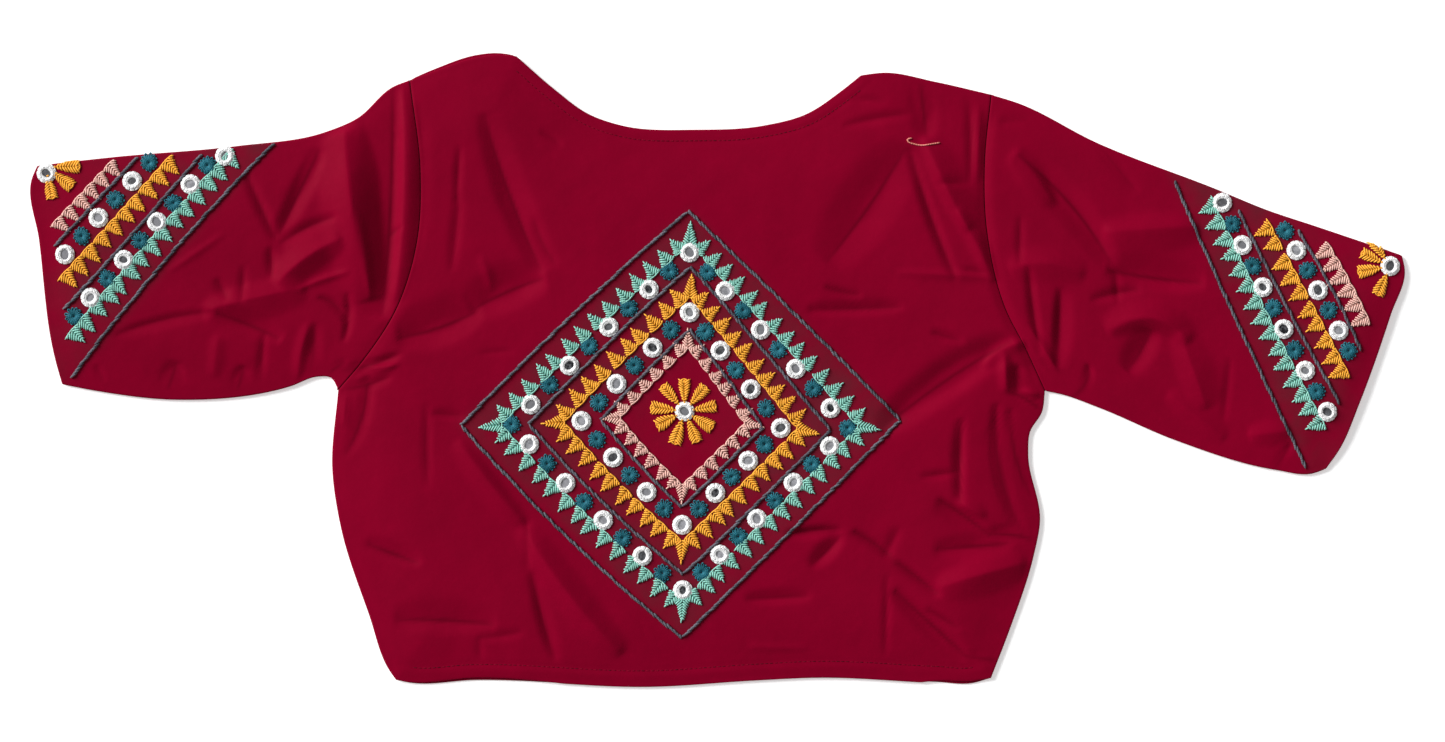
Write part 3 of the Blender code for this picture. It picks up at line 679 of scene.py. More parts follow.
def mesh_object(name, points, faces, material, uv, **values):
    """A smooth mesh object at the origin, with its points already placed."""
    mesh = bpy.data.meshes.new(name)
    faces = np.asarray(faces)
    count, corners = faces.shape
    mesh.vertices.add(len(points))
    mesh.vertices.foreach_set("co", placed(points).astype(np.float32).ravel())
    mesh.loops.add(count * corners)
    mesh.loops.foreach_set("vertex_index", faces.astype(np.int32).ravel())
    mesh.polygons.add(count)
    mesh.polygons.foreach_set("loop_start", np.arange(0, count * corners, corners, dtype=np.int32))
    mesh.polygons.foreach_set("use_smooth", np.ones(count, dtype=bool))
    mesh.uv_layers.new(name="Cut").data.foreach_set("uv", np.asarray(uv, np.float32)[faces].ravel())
    for value, numbers in values.items():
        layer = mesh.attributes.new(value, "FLOAT", "POINT")
        layer.data.foreach_set("value", np.asarray(numbers, np.float32))
    mesh.update(calc_edges=True)
    mesh.validate()
    mesh.materials.append(material)
    return added(name, mesh)


def grid_faces(rows, columns, first=0, wrap=False, flip=False):
    """Quads of a grid of points."""
    across = columns if wrap else columns - 1
    r, c = np.meshgrid(np.arange(rows - 1), np.arange(across), indexing="ij")
    r, c = r.ravel(), c.ravel()
    after = (c + 1) % columns
    quads = np.stack(
        [r * columns + c, r * columns + after, (r + 1) * columns + after, (r + 1) * columns + c], axis=1
    )
    return first + (quads[:, ::-1] if flip else quads)


def facing_up(grid):
    """Whether a grid's rows and columns run so that its quads face up."""
    u = grid[1, 1] - grid[1, 0]
    v = grid[1, 1] - grid[0, 1]
    return u[0] * v[1] - u[1] * v[0] > 0


def rim_loop(rows, columns):
    """Points round a grid, in order."""
    loop = [(0, c) for c in range(columns)] + [(r, columns - 1) for r in range(1, rows)]
    loop += [(rows - 1, c) for c in range(columns - 2, -1, -1)] + [(r, 0) for r in range(rows - 2, 0, -1)]
    return np.array([r * columns + c for r, c in loop])


def drawn_to_folds(grid):
    """A flat grid with its inner points drawn closer to the lines of the folds."""
    drawn = grid.copy()
    inner = grid[2:-2, 2:-2]
    _, _, pull_x, pull_y = folds_maps()
    drawn[2:-2, 2:-2] += np.stack([read_map(pull_x, inner), read_map(pull_y, inner)], axis=-1)
    return drawn


def sheet_object(name, grid, top, under, material, **maps):
    """A panel as a closed sheet with a rounded edge all round."""
    rows, columns = grid.shape[:2]
    flat = grid.reshape(-1, 2)
    loop = rim_loop(rows, columns)
    outline = flat[loop]
    inward = left_of(np.roll(outline, -1, axis=0) - np.roll(outline, 1, axis=0))
    inward /= np.linalg.norm(inward, axis=1)[:, None]
    if not facing_up(grid):
        inward = -inward
    half = wall() / 2
    pulled = flat.copy()
    pulled[loop] += half * inward
    top, under = top.reshape(-1), under.reshape(-1)
    points = [np.c_[pulled, top], np.c_[pulled, under]]
    count, ring = len(flat), len(loop)
    faces = [grid_faces(rows, columns), grid_faces(rows, columns, count, flip=True)]
    rings, first = [loop], 2 * count
    middle, reach = (top[loop] + under[loop]) / 2, (top[loop] - under[loop]) / 2
    order = np.arange(ring)
    after = (order + 1) % ring
    for turn in RIM_TURNS[1:-1]:
        level = outline + inward * half * (1 - math.sin(turn))
        points.append(np.c_[level, middle + reach * math.cos(turn)])
        rings.append(first + order)
        first += ring
    rings.append(loop + count)
    for above, below in zip(rings[:-1], rings[1:]):
        faces.append(np.stack([above[after], above, below, below[after]], axis=1))
    faces = np.concatenate(faces)
    if not facing_up(grid):
        faces = faces[:, ::-1]
    points = np.concatenate(points)
    uv = points[:, :2] * MM
    values = {value: read_map(heights, points[:, :2]) for value, heights in maps.items()}
    return mesh_object(name, points, faces, material, uv, **values)


def faced_out(made):
    """The closed object, with its faces flipped if they point in, where its signed volume is negative."""
    mesh = made.data
    mesh.calc_loop_triangles()
    points = np.empty(len(mesh.vertices) * 3, np.float32)
    mesh.vertices.foreach_get("co", points)
    corners = np.empty(len(mesh.loop_triangles) * 3, np.int32)
    mesh.loop_triangles.foreach_get("vertices", corners)
    triangles = points.reshape(-1, 3)[corners.reshape(-1, 3)].astype(float)
    if np.einsum("ij,ij->i", triangles[:, 0], np.cross(triangles[:, 1], triangles[:, 2])).sum() < 0:
        mesh.flip_normals()
    return made


# Stitches

STITCH_PLACES = np.array([0.0, 0.28, 0.72, 1.0])
STITCH_GIRTHS = np.array([0.5, 1.0, 1.0, 0.5])
STITCH_SIDES = 5


def stitches(name, rows, material, under=False):
    """Many short bent threads as one mesh.

    Columns of rows: start x, start y, end x, end y, half width in strands, arch, lift at the start, lift at
    the end, shade.
    """
    rows = np.asarray(rows, float)
    start, end = rows[:, 0:2], rows[:, 2:4]
    girth = rows[:, 4] * bpy.context.scene.choli_threads.strand / MM
    arch, lift = rows[:, 5], rows[:, 6:8]
    run = end - start
    length = np.linalg.norm(run, axis=1)
    side = left_of(run / length[:, None])
    t = STITCH_PLACES[None, :]
    middle = start[:, None] + run[:, None] * t[..., None]
    rise = lift[:, :1] * (1 - t) + lift[:, 1:] * t + arch[:, None] * np.sin(np.pi * t)
    turns = 2 * np.pi * (np.arange(STITCH_SIDES) + 0.5) / STITCH_SIDES
    width = girth[:, None] * STITCH_GIRTHS[None, :]
    flat = middle[:, :, None, :] + side[:, None, None, :] * (width[:, :, None] * np.cos(turns))[..., None]
    out = rise[:, :, None] + 0.8 * width[:, :, None] * np.sin(turns)
    points = on_cloth(flat, out, under)
    count, places, sides = len(rows), len(STITCH_PLACES), STITCH_SIDES
    first = (np.arange(count) * places * sides)[:, None, None]
    quads = (grid_faces(places, sides, wrap=True)[None] + first).reshape(-1, 4)
    fan = np.array([[0, k + 1, k] for k in range(1, sides - 1)])
    far = (places - 1) * sides + np.array([[0, k, k + 1] for k in range(1, sides - 1)])
    caps = (np.concatenate([fan, far])[None] + first).reshape(-1, 3)
    faces = np.concatenate([quads[:, [0, 1, 2]], quads[:, [0, 2, 3]], caps])
    u = (length[:, None] * t)[:, :, None] + np.zeros(sides)
    v = np.broadcast_to(np.arange(sides) / sides, u.shape)
    uv = np.stack([u, v], axis=-1).reshape(-1, 2)
    shades = np.repeat(rows[:, 8], places * sides)
    return faced_out(mesh_object(name, points.reshape(-1, 3), faces, material, uv, shade=shades))


def summed(*tables):
    """Tables of stitches as one."""
    return np.concatenate([np.asarray(table, float).reshape(-1, 9) for table in tables])


def turned(rows, place, direction):
    """Stitches of a motif, whose own y axis is turned to a direction and whose origin is moved to a place."""
    rows = np.array(rows, float)
    up = np.asarray(direction, float) / np.linalg.norm(direction)
    across = np.array([up[1], -up[0]])
    for i in (0, 2):
        rows[:, i : i + 2] = place + rows[:, i : i + 1] * across + rows[:, i + 1 : i + 2] * up
    return rows


def nearest(points, line):
    """Nearest point of a line to each point, and the line's direction there."""
    best = np.full(len(points), np.inf)
    meets, along = np.zeros((len(points), 2)), np.zeros((len(points), 2))
    for a, b in zip(line[:-1], line[1:]):
        step = b - a
        t = np.clip((points - a) @ step / max(step @ step, 1e-9), 0.0, 1.0)
        foot = a + t[:, None] * step
        far = np.linalg.norm(points - foot, axis=1)
        closer = far < best
        best[closer], meets[closer] = far[closer], foot[closer]
        along[closer] = step / np.linalg.norm(step)
    return meets, along


def inside_line(points, kind, side):
    """How far points are within an edge of a sleeve, the edge point nearest to each, and the way in."""
    meets, along = nearest(points, edge(kind + side))
    inward = left_of(along)
    inward *= np.sign(np.einsum("ij,ij->i", SLEEVE_MIDDLES[side] - meets, inward))[:, None]
    return np.einsum("ij,ij->i", points - meets, inward), meets, inward


SLEEVE_MIDDLES = {"left": np.array([-366.0, 102.0]), "right": np.array([370.0, 40.0])}
CUFF_CLEARANCE = 1.2  # least distance of a stitch's ends from a cuff
FOLD_RADIUS = 1.15  # of the rounded folded edges
PAST_FOLD = 3.0  # stitches that would reach further round a fold are left out
LEAST_HEIGHT = 0.03  # of any stitch over the table


def on_sleeves(flat):
    """The side and the numbers of the points on each sleeve that has any."""
    for side, chosen in (("left", flat[:, 0] < -SLEEVES_FROM), ("right", flat[:, 0] > SLEEVES_FROM)):
        if chosen.any():
            yield side, np.nonzero(chosen)[0]


def on_cloth(points, rise, under):
    """Each stitch's points on the outer face, moved out by a rise, and past a sleeve's fold round its edge.

    A stitch that would go through the table is sunk into the cloth instead.
    """
    flat = points.reshape(-1, 2)
    out = rise.reshape(-1)
    heights = read_map(upper_map(), flat) + out
    if under:
        heights = read_map(lower_map(), flat) - out
    placed_flat = flat.copy()
    for side, chosen in on_sleeves(flat):
        depth, meets, inward = inside_line(flat[chosen], "fold_", side)
        past = depth < FOLD_RADIUS
        chosen, depth, meets, inward = chosen[past], depth[past], meets[past], inward[past]
        turn = np.clip((FOLD_RADIUS - depth) / FOLD_RADIUS, 0.0, math.pi)
        reach = FOLD_RADIUS + out[chosen]
        placed_flat[chosen] = meets + inward * (FOLD_RADIUS - reach * np.sin(turn))[:, None]
        level = reach * np.cos(turn)
        heights[chosen] = FOLD_RADIUS + (-level if under else level)
    heights = heights.reshape(len(points), -1)
    heights += np.maximum(LEAST_HEIGHT - heights.min(axis=1, keepdims=True), 0.0)
    return np.concatenate([placed_flat, heights.reshape(-1, 1)], axis=1).reshape(*points.shape[:-1], 3)


def kept_on_sleeve(rows):
    """Stitches less those that would hang off a cuff or reach too far round a fold."""
    rows = np.asarray(rows, float)
    keep = np.ones(len(rows), bool)
    for end in (rows[:, 0:2], rows[:, 2:4]):
        for side, chosen in on_sleeves(end):
            keep[chosen] &= inside_line(end[chosen], "cuff_", side)[0] > CUFF_CLEARANCE
            keep[chosen] &= inside_line(end[chosen], "fold_", side)[0] > -PAST_FOLD
    return rows[keep]


# How the embroidery is laid out


def row_shape(panel, row):
    """Corners of a row that runs between a diamond's ropes, and the bows of its sides."""
    diamond = DIAMONDS[panel]
    ropes, bows = np.array(diamond["ropes"]), np.array(diamond["bows"])
    rings = np.concatenate([ropes, np.broadcast_to(diamond["middle"], ropes[:1].shape)])
    bends = np.concatenate([bows, np.zeros_like(bows[:1])])
    inner = min(int(row), len(rings) - 2)
    share = row - inner
    corners = (1 - share) * rings[inner] + share * rings[inner + 1]
    return corners, (1 - share) * bends[inner] + share * bends[inner + 1]


def row_point(panel, row, side, share):
    """The point this share of the way along a side of a row, and the way out from the middle there."""
    corners, bends = row_shape(panel, row)
    start, end = corners[side], corners[(side + 1) % len(corners)]
    run = end - start
    left = left_of(run) / np.linalg.norm(run)
    point = start + share * run + 4 * bends[side] * share * (1 - share) * left
    slope = run + 4 * bends[side] * (1 - 2 * share) * left
    out = left_of(slope) / np.linalg.norm(slope)
    if out @ (point - np.array(DIAMONDS[panel]["middle"])) < 0:
        out = -out
    return point, out


def row_sides(panel):
    return len(DIAMONDS[panel]["bows"][0])


def stations(with_mirrors):
    """Places of the mirrors, or of the rosettes between them, as (panel, place, way out)."""
    places = []
    for panel, row, count, offset, first in STATION_ROWS:
        closes = row_sides(panel) > 1
        for side in range(row_sides(panel)):
            k = (first + side * int(count)) % 2 if closes else first
            if not with_mirrors:
                k = 1 - k
            while k + offset < count - (0 if closes else 0.3):
                places.append((panel, *row_point(panel, row, side, (k + offset) / count)))
                k += 2
    return places


def mirror_spots():
    """Middles of the mirrors of each panel, kept clear of the sleeves' edges."""
    spots = {name: [np.array(diamond["middle"])] for name, diamond in DIAMONDS.items()}
    for panel, place, _ in stations(with_mirrors=True):
        spots[panel].append(place)
    for panel in ("left", "right"):
        for i, spot in enumerate(spots[panel]):
            for kind in ("fold_", "cuff_"):
                depth, meets, inward = inside_line(spot[None], kind, panel)
                if depth[0] < EDGE_CLEARANCE:
                    spot = meets[0] + EDGE_CLEARANCE * inward[0]
            spots[panel][i] = spot
    return spots


def polar(radius, turn):
    """The point this far out in a direction."""
    return radius * np.array([math.cos(turn), math.sin(turn)])


def triangle(height, width, rng):
    """A triangle of nested V stitches that open towards its tip, over a flat filling in painted shade, the
    thread's darkest tone, that shows in the gaps between them.
    """
    rows = []
    skew, slope = rng.uniform(-0.10, 0.10), rng.uniform(0.75, 0.95)
    # Painted shade: the filling's strands take shade 0, the thread's darkest tone, for the dark gaps between
    # the stitches.
    for share in (-0.3, -0.15, 0.0, 0.15, 0.3):
        top = height * (0.80 - 1.5 * abs(share))
        rows.append((share * width, 0.5, 0.3 * share * width + skew * top, top, 0.80, 0.0, 0.05, 0.0, 0.0))
    low = -0.36 * slope * width + rng.uniform(-0.4, 0.4)
    while low < 0.84 * height:
        reach = 0.5 * width * (1 - low / height) / (1 + 0.5 * slope * width / height)
        for side in (-1, 1):
            first = max(-0.1, -low / slope)
            last = reach + rng.uniform(0.2, 0.9)
            if last - first < 0.9:
                continue
            y0, y1 = low + slope * first, low + slope * last
            a = (side * first + skew * y0, y0 + 0.1 * side)
            b = (side * last + skew * y1, y1)
            rows.append((*a, *b, rng.uniform(0.46, 0.53), 0.35, 0.65, 0.4, rng.uniform(0.6, 1.0)))
        low += rng.uniform(1.72, 1.92)
    tip = skew * height
    point = tip + rng.uniform(-0.5, 0.5)
    rows.append((tip * 0.8, 0.78 * height, point, height + 0.7, 0.44, 0.25, 0.7, 0.3, 0.8))
    rows.append((-0.50 * width, 0.3, 0.10 * width, -0.5, 0.42, 0.25, 0.5, 0.7, 0.8))
    reach = 0.46 if rng.random() < 0.6 else 0.62
    rows.append((-0.06 * width, -0.5, reach * width, 0.3, 0.42, 0.25, 0.6, 0.5, 0.8))
    return rows


def petal(length, width, rng):
    """A petal of nested V stitches over a flat filling in painted shade, closed by curved stitches at its
    outer end.
    """
    rows = []
    # Painted shade: the filling's strands take shade 0, the thread's darkest tone.
    for share in (-0.2, 0.0, 0.2):
        rows.append((0.2 * share * width, 0.6, share * width, 0.84 * length, 0.85, 0.0, 0.1, 0.1, 0.0))
    rungs = round(length / 1.7)
    for k in range(rungs):
        t = k / (rungs - 1)
        half = 0.5 * width * (0.14 + 0.86 * math.sin(math.pi * 0.62 * t) ** 0.8) * rng.uniform(0.93, 1.08)
        along = length * 0.84 * t - 0.2
        for side in (-1, 1):
            a = (-side * 0.1, along + 0.12 * side)
            b = (side * half, along + 0.62 * half + 0.4 + rng.uniform(-0.15, 0.15))
            rows.append((*a, *b, rng.uniform(0.48, 0.55), 0.45, 0.75, 0.4, rng.uniform(0.6, 1.0)))
    end = length * 0.97
    rows.append((0.0, 0.80 * length, 0.0, end + 0.4, 0.85, 0.1, 0.4, 0.2, 0.7))
    for side in (-1, 1):
        rows.append((-side * 0.1, end + 0.9, side * 0.36 * width, end - 0.5, 0.48, 0.35, 0.5, 0.35, 0.7))
    return rows


def rosette(rng):
    """A close rosette of looped petals, each two strands joined round its outer end."""
    rows = []
    count = int(rng.integers(11, 14))
    start = rng.uniform(0.0, 2 * math.pi)
    for k in range(count):
        turn = start + 2 * math.pi * (k + rng.uniform(-0.12, 0.12)) / count
        reach = rng.uniform(5.0, 6.0)
        spread = math.pi / count * 0.58
        tone = rng.uniform(0.3, 0.8)
        for side in (-1, 1):
            a, b = polar(0.4, turn + 0.5 * side * spread), polar(reach, turn + side * spread)
            rows.append((*a, *b, 0.46, 0.8, 0.3, 0.3, tone))
        a, b = polar(reach, turn - 0.75 * spread), polar(reach, turn + 0.75 * spread)
        rows.append((*a, *b, 0.4, 0.5, 0.3, 0.3, tone + 0.5))
    return rows


def rope(panel, number, rng):
    """Overlapping slanted stitches along a diamond's outline."""
    rows = []
    for side in range(row_sides(panel)):
        line = np.array([row_point(panel, number, side, t)[0] for t in np.linspace(0.0, 1.0, 41)])
        count = round(run_length(line) / ROPE_PITCH)
        spots = resample(line, count)
        for k in range(-1, count - 1):
            here = spots[max(k, 0)]
            after = spots[min(k + 2, count)]
            run = (after - here) / np.linalg.norm(after - here)
            across = left_of(run)
            wander = rng.uniform(-0.35, 0.35)
            start = here + (0.7 + wander) * across
            end = after + (-0.7 + wander) * across
            rows.append((*start, *end, 0.64, 0.5, 0.2, 0.7, rng.uniform(0.3, 1.0)))
    return rows


def disc_plane(spot):
    """Slopes and height of the disc that lies on the cloth at a spot."""
    turns = 2 * np.pi * np.arange(16) / 16
    offsets = np.concatenate([[(0.0, 0.0)]] + [r * np.c_[np.cos(turns), np.sin(turns)] for r in (2.5, 5.0)])
    heights = read_map(upper_map(), spot + offsets)
    slopes = np.c_[offsets, np.ones(len(offsets))]
    plane = np.linalg.lstsq(slopes, heights, rcond=None)[0]
    plane[2] += (heights - slopes @ plane).max() * 0.6 + 0.05
    return plane


def ring(spot, plane, count, rng, under=False):
    """Close stitches that lap over the edge of a disc from the cloth round it, and a round of them on top."""
    rows = []
    start, lean = rng.uniform(0.0, 1.0), rng.uniform(0.0, 2 * math.pi)
    hole = RING_INNER * rng.uniform(0.86, 1.12)
    for k in range(count):
        turn = 2 * math.pi * (k + start + rng.uniform(-0.1, 0.1)) / count
        skew = rng.uniform(0.05, 0.17)
        inner = hole * (1 + 0.13 * math.sin(2 * turn + lean)) * rng.uniform(0.96, 1.04)
        outer = RING_OUTER * rng.uniform(0.98, 1.02)
        a = spot + polar(inner, turn)
        b = spot + polar(outer, turn + skew)
        lift = over_disc(a, spot, plane, under)
        rows.append((*a, *b, 0.56, 0.45, lift + 0.25, 0.4, rng.uniform(0.6, 1.0)))
    for k in range(count // 3):
        turn = 2 * math.pi * (3 * k + start) / count
        step = 2 * math.pi * 2.8 / count
        a = spot + polar(RING_ROUND, turn)
        b = spot + polar(RING_ROUND, turn + step)
        lift = over_disc(a, spot, plane, under)
        rows.append((*a, *b, 0.30, 0.1, lift + 0.7, lift + 0.7, rng.uniform(0.6, 0.9)))
        a = spot + polar(RING_FOOT, turn)
        b = spot + polar(RING_FOOT, turn + step)
        rows.append((*a, *b, 0.45, 0.3, 0.45, 0.45, rng.uniform(0.5, 0.9)))
    return rows


def over_disc(point, spot, plane, under):
    """Height of a disc's face above the cloth at a point."""
    if under:
        return DISC_THICKNESS
    level = plane[2] + plane[:2] @ (point - spot) + DISC_THICKNESS
    return float(level - read_map(upper_map(), point[None])[0])


# Materials


def new_material(name):
    made = bpy.data.materials.new(name)
    made.use_nodes = True
    tree = made.node_tree
    return made, tree, tree.nodes["Principled BSDF"]


def node(tree, kind, **settings):
    """A new shader node with its settings and its inputs filled in."""
    made = tree.nodes.new("ShaderNode" + kind)
    own = {name: value for name, value in settings.items() if hasattr(made, name)}
    for name, value in own.items():
        setattr(made, name, value)
    fill(made, **{name: value for name, value in settings.items() if name not in own})
    return made


def fill(made, **inputs):
    """Gives a node's inputs their values, or links them where the value is another node's socket."""
    for name, value in inputs.items():
        socket = made.inputs[name.replace("_", " ")]
        if isinstance(value, bpy.types.NodeSocket):
            made.id_data.links.new(value, socket)
        else:
            socket.default_value = value


def noise(tree, scale, detail, roughness=0.5):
    """Noise all over an object."""
    place = node(tree, "TexCoord").outputs["Object"]
    made = node(tree, "TexNoise", Vector=place, Scale=scale, Detail=detail, Roughness=roughness)
    return made.outputs["Fac"]


def marked(tree, name):
    """Values that a mesh's points have under this name."""
    return node(tree, "Attribute", attribute_name=name).outputs["Fac"]


def wave(tree, **settings):
    """Bands across the cut of the cloth or along a thread."""
    cut = node(tree, "UVMap", uv_map="Cut").outputs["UV"]
    return node(tree, "TexWave", Vector=cut, **settings).outputs["Fac"]


def bump(tree, height, strength, distance, **below):
    made = node(tree, "Bump", Height=height, Strength=strength, Distance=distance, **below)
    return made.outputs["Normal"]


def ramp(tree, factor, low, high, start=0.0, end=1.0):
    """Maps a factor between two values onto a blend of two colours, or of two greys given as numbers."""
    made = node(tree, "ValToRGB", Fac=factor)
    for element, place, colour in zip(made.color_ramp.elements, (start, end), (low, high)):
        element.position = place
        element.color = (*((colour,) * 3 if isinstance(colour, float) else colour), 1.0)
    return made.outputs["Color"]


def mixed(tree, factor, a, b, kind="MIX"):
    """Two colours mixed by a factor, each a socket or a plain colour or number."""
    made = tree.nodes.new("ShaderNodeMix")
    made.data_type, made.blend_type = "RGBA", kind
    for socket, value in ((made.inputs["Factor"], factor), (made.inputs[6], a), (made.inputs[7], b)):
        if isinstance(value, bpy.types.NodeSocket):
            tree.links.new(value, socket)
        else:
            socket.default_value = value if isinstance(value, float) else (*value, 1.0)
    return made.outputs[2]


def scaled(colour, amount):
    return tuple(min(1.0, c * amount) for c in colour)


def cotton_material(colour):
    """Plain-woven crimson cotton with a soft sheen, slubs, faint wrinkles, painted shade along the troughs of
    the folds and a browner stitched ground.
    """
    made, tree, shader = new_material("cotton")
    cloudy, blotch = noise(tree, 9.0, 4.0, 0.6), noise(tree, 42.0, 3.0)
    slub, wrinkle = noise(tree, 260.0, 2.0, 0.6), noise(tree, 75.0, 5.0, 0.55)
    plain = ramp(tree, cloudy, scaled(colour, 0.93), scaled(colour, 1.07), 0.3, 0.7)
    plain = mixed(tree, ramp(tree, blotch, 0.0, 0.3, 0.42, 0.7), plain, scaled(colour, 0.85))
    plain = mixed(tree, ramp(tree, slub, 0.0, 0.25, 0.5, 0.75), plain, scaled(colour, 1.15))
    # Painted shade: the cloth darkens towards a third of its colour along the troughs' lines.
    plain = mixed(tree, ramp(tree, marked(tree, "pinch"), 0.0, 0.55), plain, scaled(colour, 0.3))
    brown = (colour[0] * 0.62, colour[0] * 0.045, colour[0] * 0.095)
    worked = mixed(tree, ramp(tree, blotch, 0.3, 1.0, 0.35, 0.65), plain, brown)
    rough = node(tree, "MapRange", Value=blotch, From_Min=0.3, From_Max=0.7, To_Min=0.50, To_Max=0.66)
    threads = [
        wave(tree, bands_direction=direction, Scale=620.0, Distortion=1.2, Detail=1.0)
        for direction in ("X", "Y")
    ]
    weave = node(tree, "Math", operation="MAXIMUM")
    for thread_fac, socket in zip(threads, weave.inputs):
        tree.links.new(thread_fac, socket)
    soft = bump(tree, wrinkle, 0.22, 0.0012)
    fill(
        shader,
        Base_Color=mixed(tree, marked(tree, "shade"), plain, worked),
        Roughness=rough.outputs["Result"],
        Sheen_Weight=0.20,
        Sheen_Roughness=0.45,
        Sheen_Tint=(0.60, 0.0, 0.07, 1.0),
        Specular_IOR_Level=0.02,
        Normal=bump(tree, weave.outputs[0], 0.25, 0.0001, Normal=soft),
    )
    return made


def thread_material(name, colour, light, roughness=0.5):
    """Two-ply embroidery thread, each stitch a little lighter or darker than the next; at shade 0 it is about
    a third of its colour, painted shade for strands that lie in the gaps.
    """
    made, tree, shader = new_material(name)
    # Painted shade at the ramp's dark end: shade 0 gives about a third of the thread's colour.
    base = ramp(tree, marked(tree, "shade"), scaled(colour, 0.32), light, 0.0, 0.8)
    dusty = ramp(tree, noise(tree, 900.0, 2.0), 0.0, 0.3, 0.45, 0.75)
    ply = wave(tree, bands_direction="DIAGONAL", Scale=0.55, Distortion=0.6)
    fill(
        shader,
        Base_Color=mixed(tree, dusty, base, scaled(colour, 0.7)),
        Roughness=roughness,
        Specular_IOR_Level=0.12,
        Normal=bump(tree, ply, 0.45, 0.00025),
    )
    return made


def mirror_material():
    """Hand-cut mirror glass, clouded in patches, from nearly black to pale from disc to disc: painted
    reflections of the surroundings.
    """
    made, tree, shader = new_material("mirror")
    cloud = noise(tree, 310.0, 4.0, 0.65)
    # Painted reflection: each disc's tone runs from nearly black to pale grey.
    base = ramp(tree, marked(tree, "shade"), (0.010, 0.010, 0.014), (0.72, 0.72, 0.77))
    patch = ramp(tree, cloud, 0.0, 0.75, 0.44, 0.62)
    rough = node(tree, "MapRange", Value=cloud, From_Min=0.35, From_Max=0.7, To_Min=0.08, To_Max=0.38)
    fill(
        shader,
        Base_Color=mixed(tree, patch, base, (0.27, 0.28, 0.30)),
        Roughness=rough.outputs["Result"],
        Metallic=0.6,
        Normal=bump(tree, cloud, 0.15, 0.0003),
    )
    return made


def floor_material(colour):
    """Matt pale card with a faint grain."""
    made, tree, shader = new_material("floor")
    tone = ramp(tree, noise(tree, 30.0, 3.0), scaled(colour, 0.985), colour)
    white = (1.0, 1.0, 1.0, 1.0)
    fill(shader, Base_Color=tone, Roughness=0.9, Specular_IOR_Level=0.1)
    fill(shader, Emission_Color=white, Emission_Strength=0.4)
    return made


@lru_cache(maxsize=None)
def cotton():
    return cotton_material(tuple(bpy.context.scene.choli_cloth.colour))


# How much paler than its colour the lightest stitches of a thread are
PALEST = {
    "mint": 0.22, "yellow": 0.05, "pink": 0.22, "teal": 0.02, "slate": 0.08, "white": 0.1, "salmon": 0.1
}


@lru_cache(maxsize=None)
def thread(name):
    """The named embroidery thread."""
    colour = tuple(getattr(bpy.context.scene.choli_threads, name))
    rise = PALEST[name]
    light = tuple(c + rise * (1 - c) for c in colour)
    return thread_material("thread_" + name, colour, light)


# The cloth


def with_height(grid, height):
    """A flat grid given heights."""
    return np.concatenate([grid, np.broadcast_to(height, grid.shape[:-1])[..., None]], axis=-1)


def steps_of(*lines):
    """Steps that space a panel's points evenly along its longest edge."""
    spacing = bpy.context.scene.choli_cloth.spacing / MM
    return round(max(run_length(line) for line in lines) / spacing)


def finished(piece, slot, *replaced):
    """Puts a piece on the blouse's one body and has it stand for CAD nodes."""
    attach(piece, "root")
    if replaced:
        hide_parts(*replaced)
    return piece


def back_grid():
    """Flat grid of the back, from the hem up."""
    high = joined(edge("shoulder_left"), edge("neck"), edge("shoulder_right"))
    left = joined(edge("side_left"), edge("armhole_left"))
    right = joined(edge("side_right"), edge("armhole_right"))
    across, up = steps_of(high, edge("hem")), steps_of(left, right)
    low = resample(edge("hem"), across)
    for middle, half, amount in BACK_HEM_RISES:
        low[:, 1] += amount * np.clip(1 - ((low[:, 0] - middle) / half) ** 2, 0.0, 1.0)
    return coons(low, resample(high, across), resample(left, up), resample(right, up))


def front_armhole(side):
    """The front's armhole, cut deeper than the back's towards its middle."""
    line = edge("armhole_" + side).copy()
    t = np.linspace(0.0, 1.0, len(line))
    inward = 1.0 if side == "left" else -1.0
    line[:, 0] += inward * FRONT_ARMHOLE_INSET * np.sin(math.pi * t) ** 2
    return line


def front_grid(side):
    """Flat grid of a front, from its side seam to the middle, where the two fronts meet."""
    neck, hem = curve(EDGES["front_neck"], 240), curve(EDGES["hem"], 400)
    shoulder = edge("shoulder_" + side, 20).copy()
    outer = joined(edge("side_" + side), front_armhole(side))
    is_left = side == "left"
    if is_left:
        shoulder[1:-1, 1] += SHOULDER_LEFT_SLIP * np.sin(math.pi * np.linspace(0, 1, 21)[1:-1]) ** 0.5
    inward = 1.0 if is_left else -1.0
    neck = neck[inward * (neck[:, 0] - CENTRE_FRONT_X) <= 0]
    hem = hem[inward * (hem[:, 0] - CENTRE_FRONT_X) <= 0]
    end = -1 if is_left else 0
    neck[end, 0] = hem[end, 0] = CENTRE_FRONT_X - inward * 0.15
    high = joined(shoulder, neck) if is_left else joined(neck, shoulder)
    across, up = steps_of(high, hem) // 2, steps_of(outer) // 2
    middle = np.array([hem[end], high[end]])
    low, high = resample(hem, across), resample(high, across)
    outer, middle = resample(outer, up), resample(middle, up)
    return coons(low, high, outer, middle) if is_left else coons(low, high, middle, outer)


def sleeve_grids(side):
    """Flat grids of a sleeve's upper and lower walls: a row for each ring, from the fold to the underarm."""
    fold, under = edge("fold_" + side), edge("under_" + side)
    along, across = steps_of(fold, under), steps_of(edge("armhole_" + side))
    outward = np.array([-1.0, 0.0] if side == "left" else [1.0, 0.0])
    grids = []
    for armhole in (edge("armhole_" + side), front_armhole(side)):
        start, cuff = resample(armhole[::-1], across), resample(edge("cuff_" + side), across)
        grid = coons(start, cuff, resample(fold, along), resample(under, along))
        grid[0] += 0.35 * outward
        grids.append(grid)
    return grids, outward


FOLD_TURNS = np.radians(np.linspace(90.0, -90.0, 8))


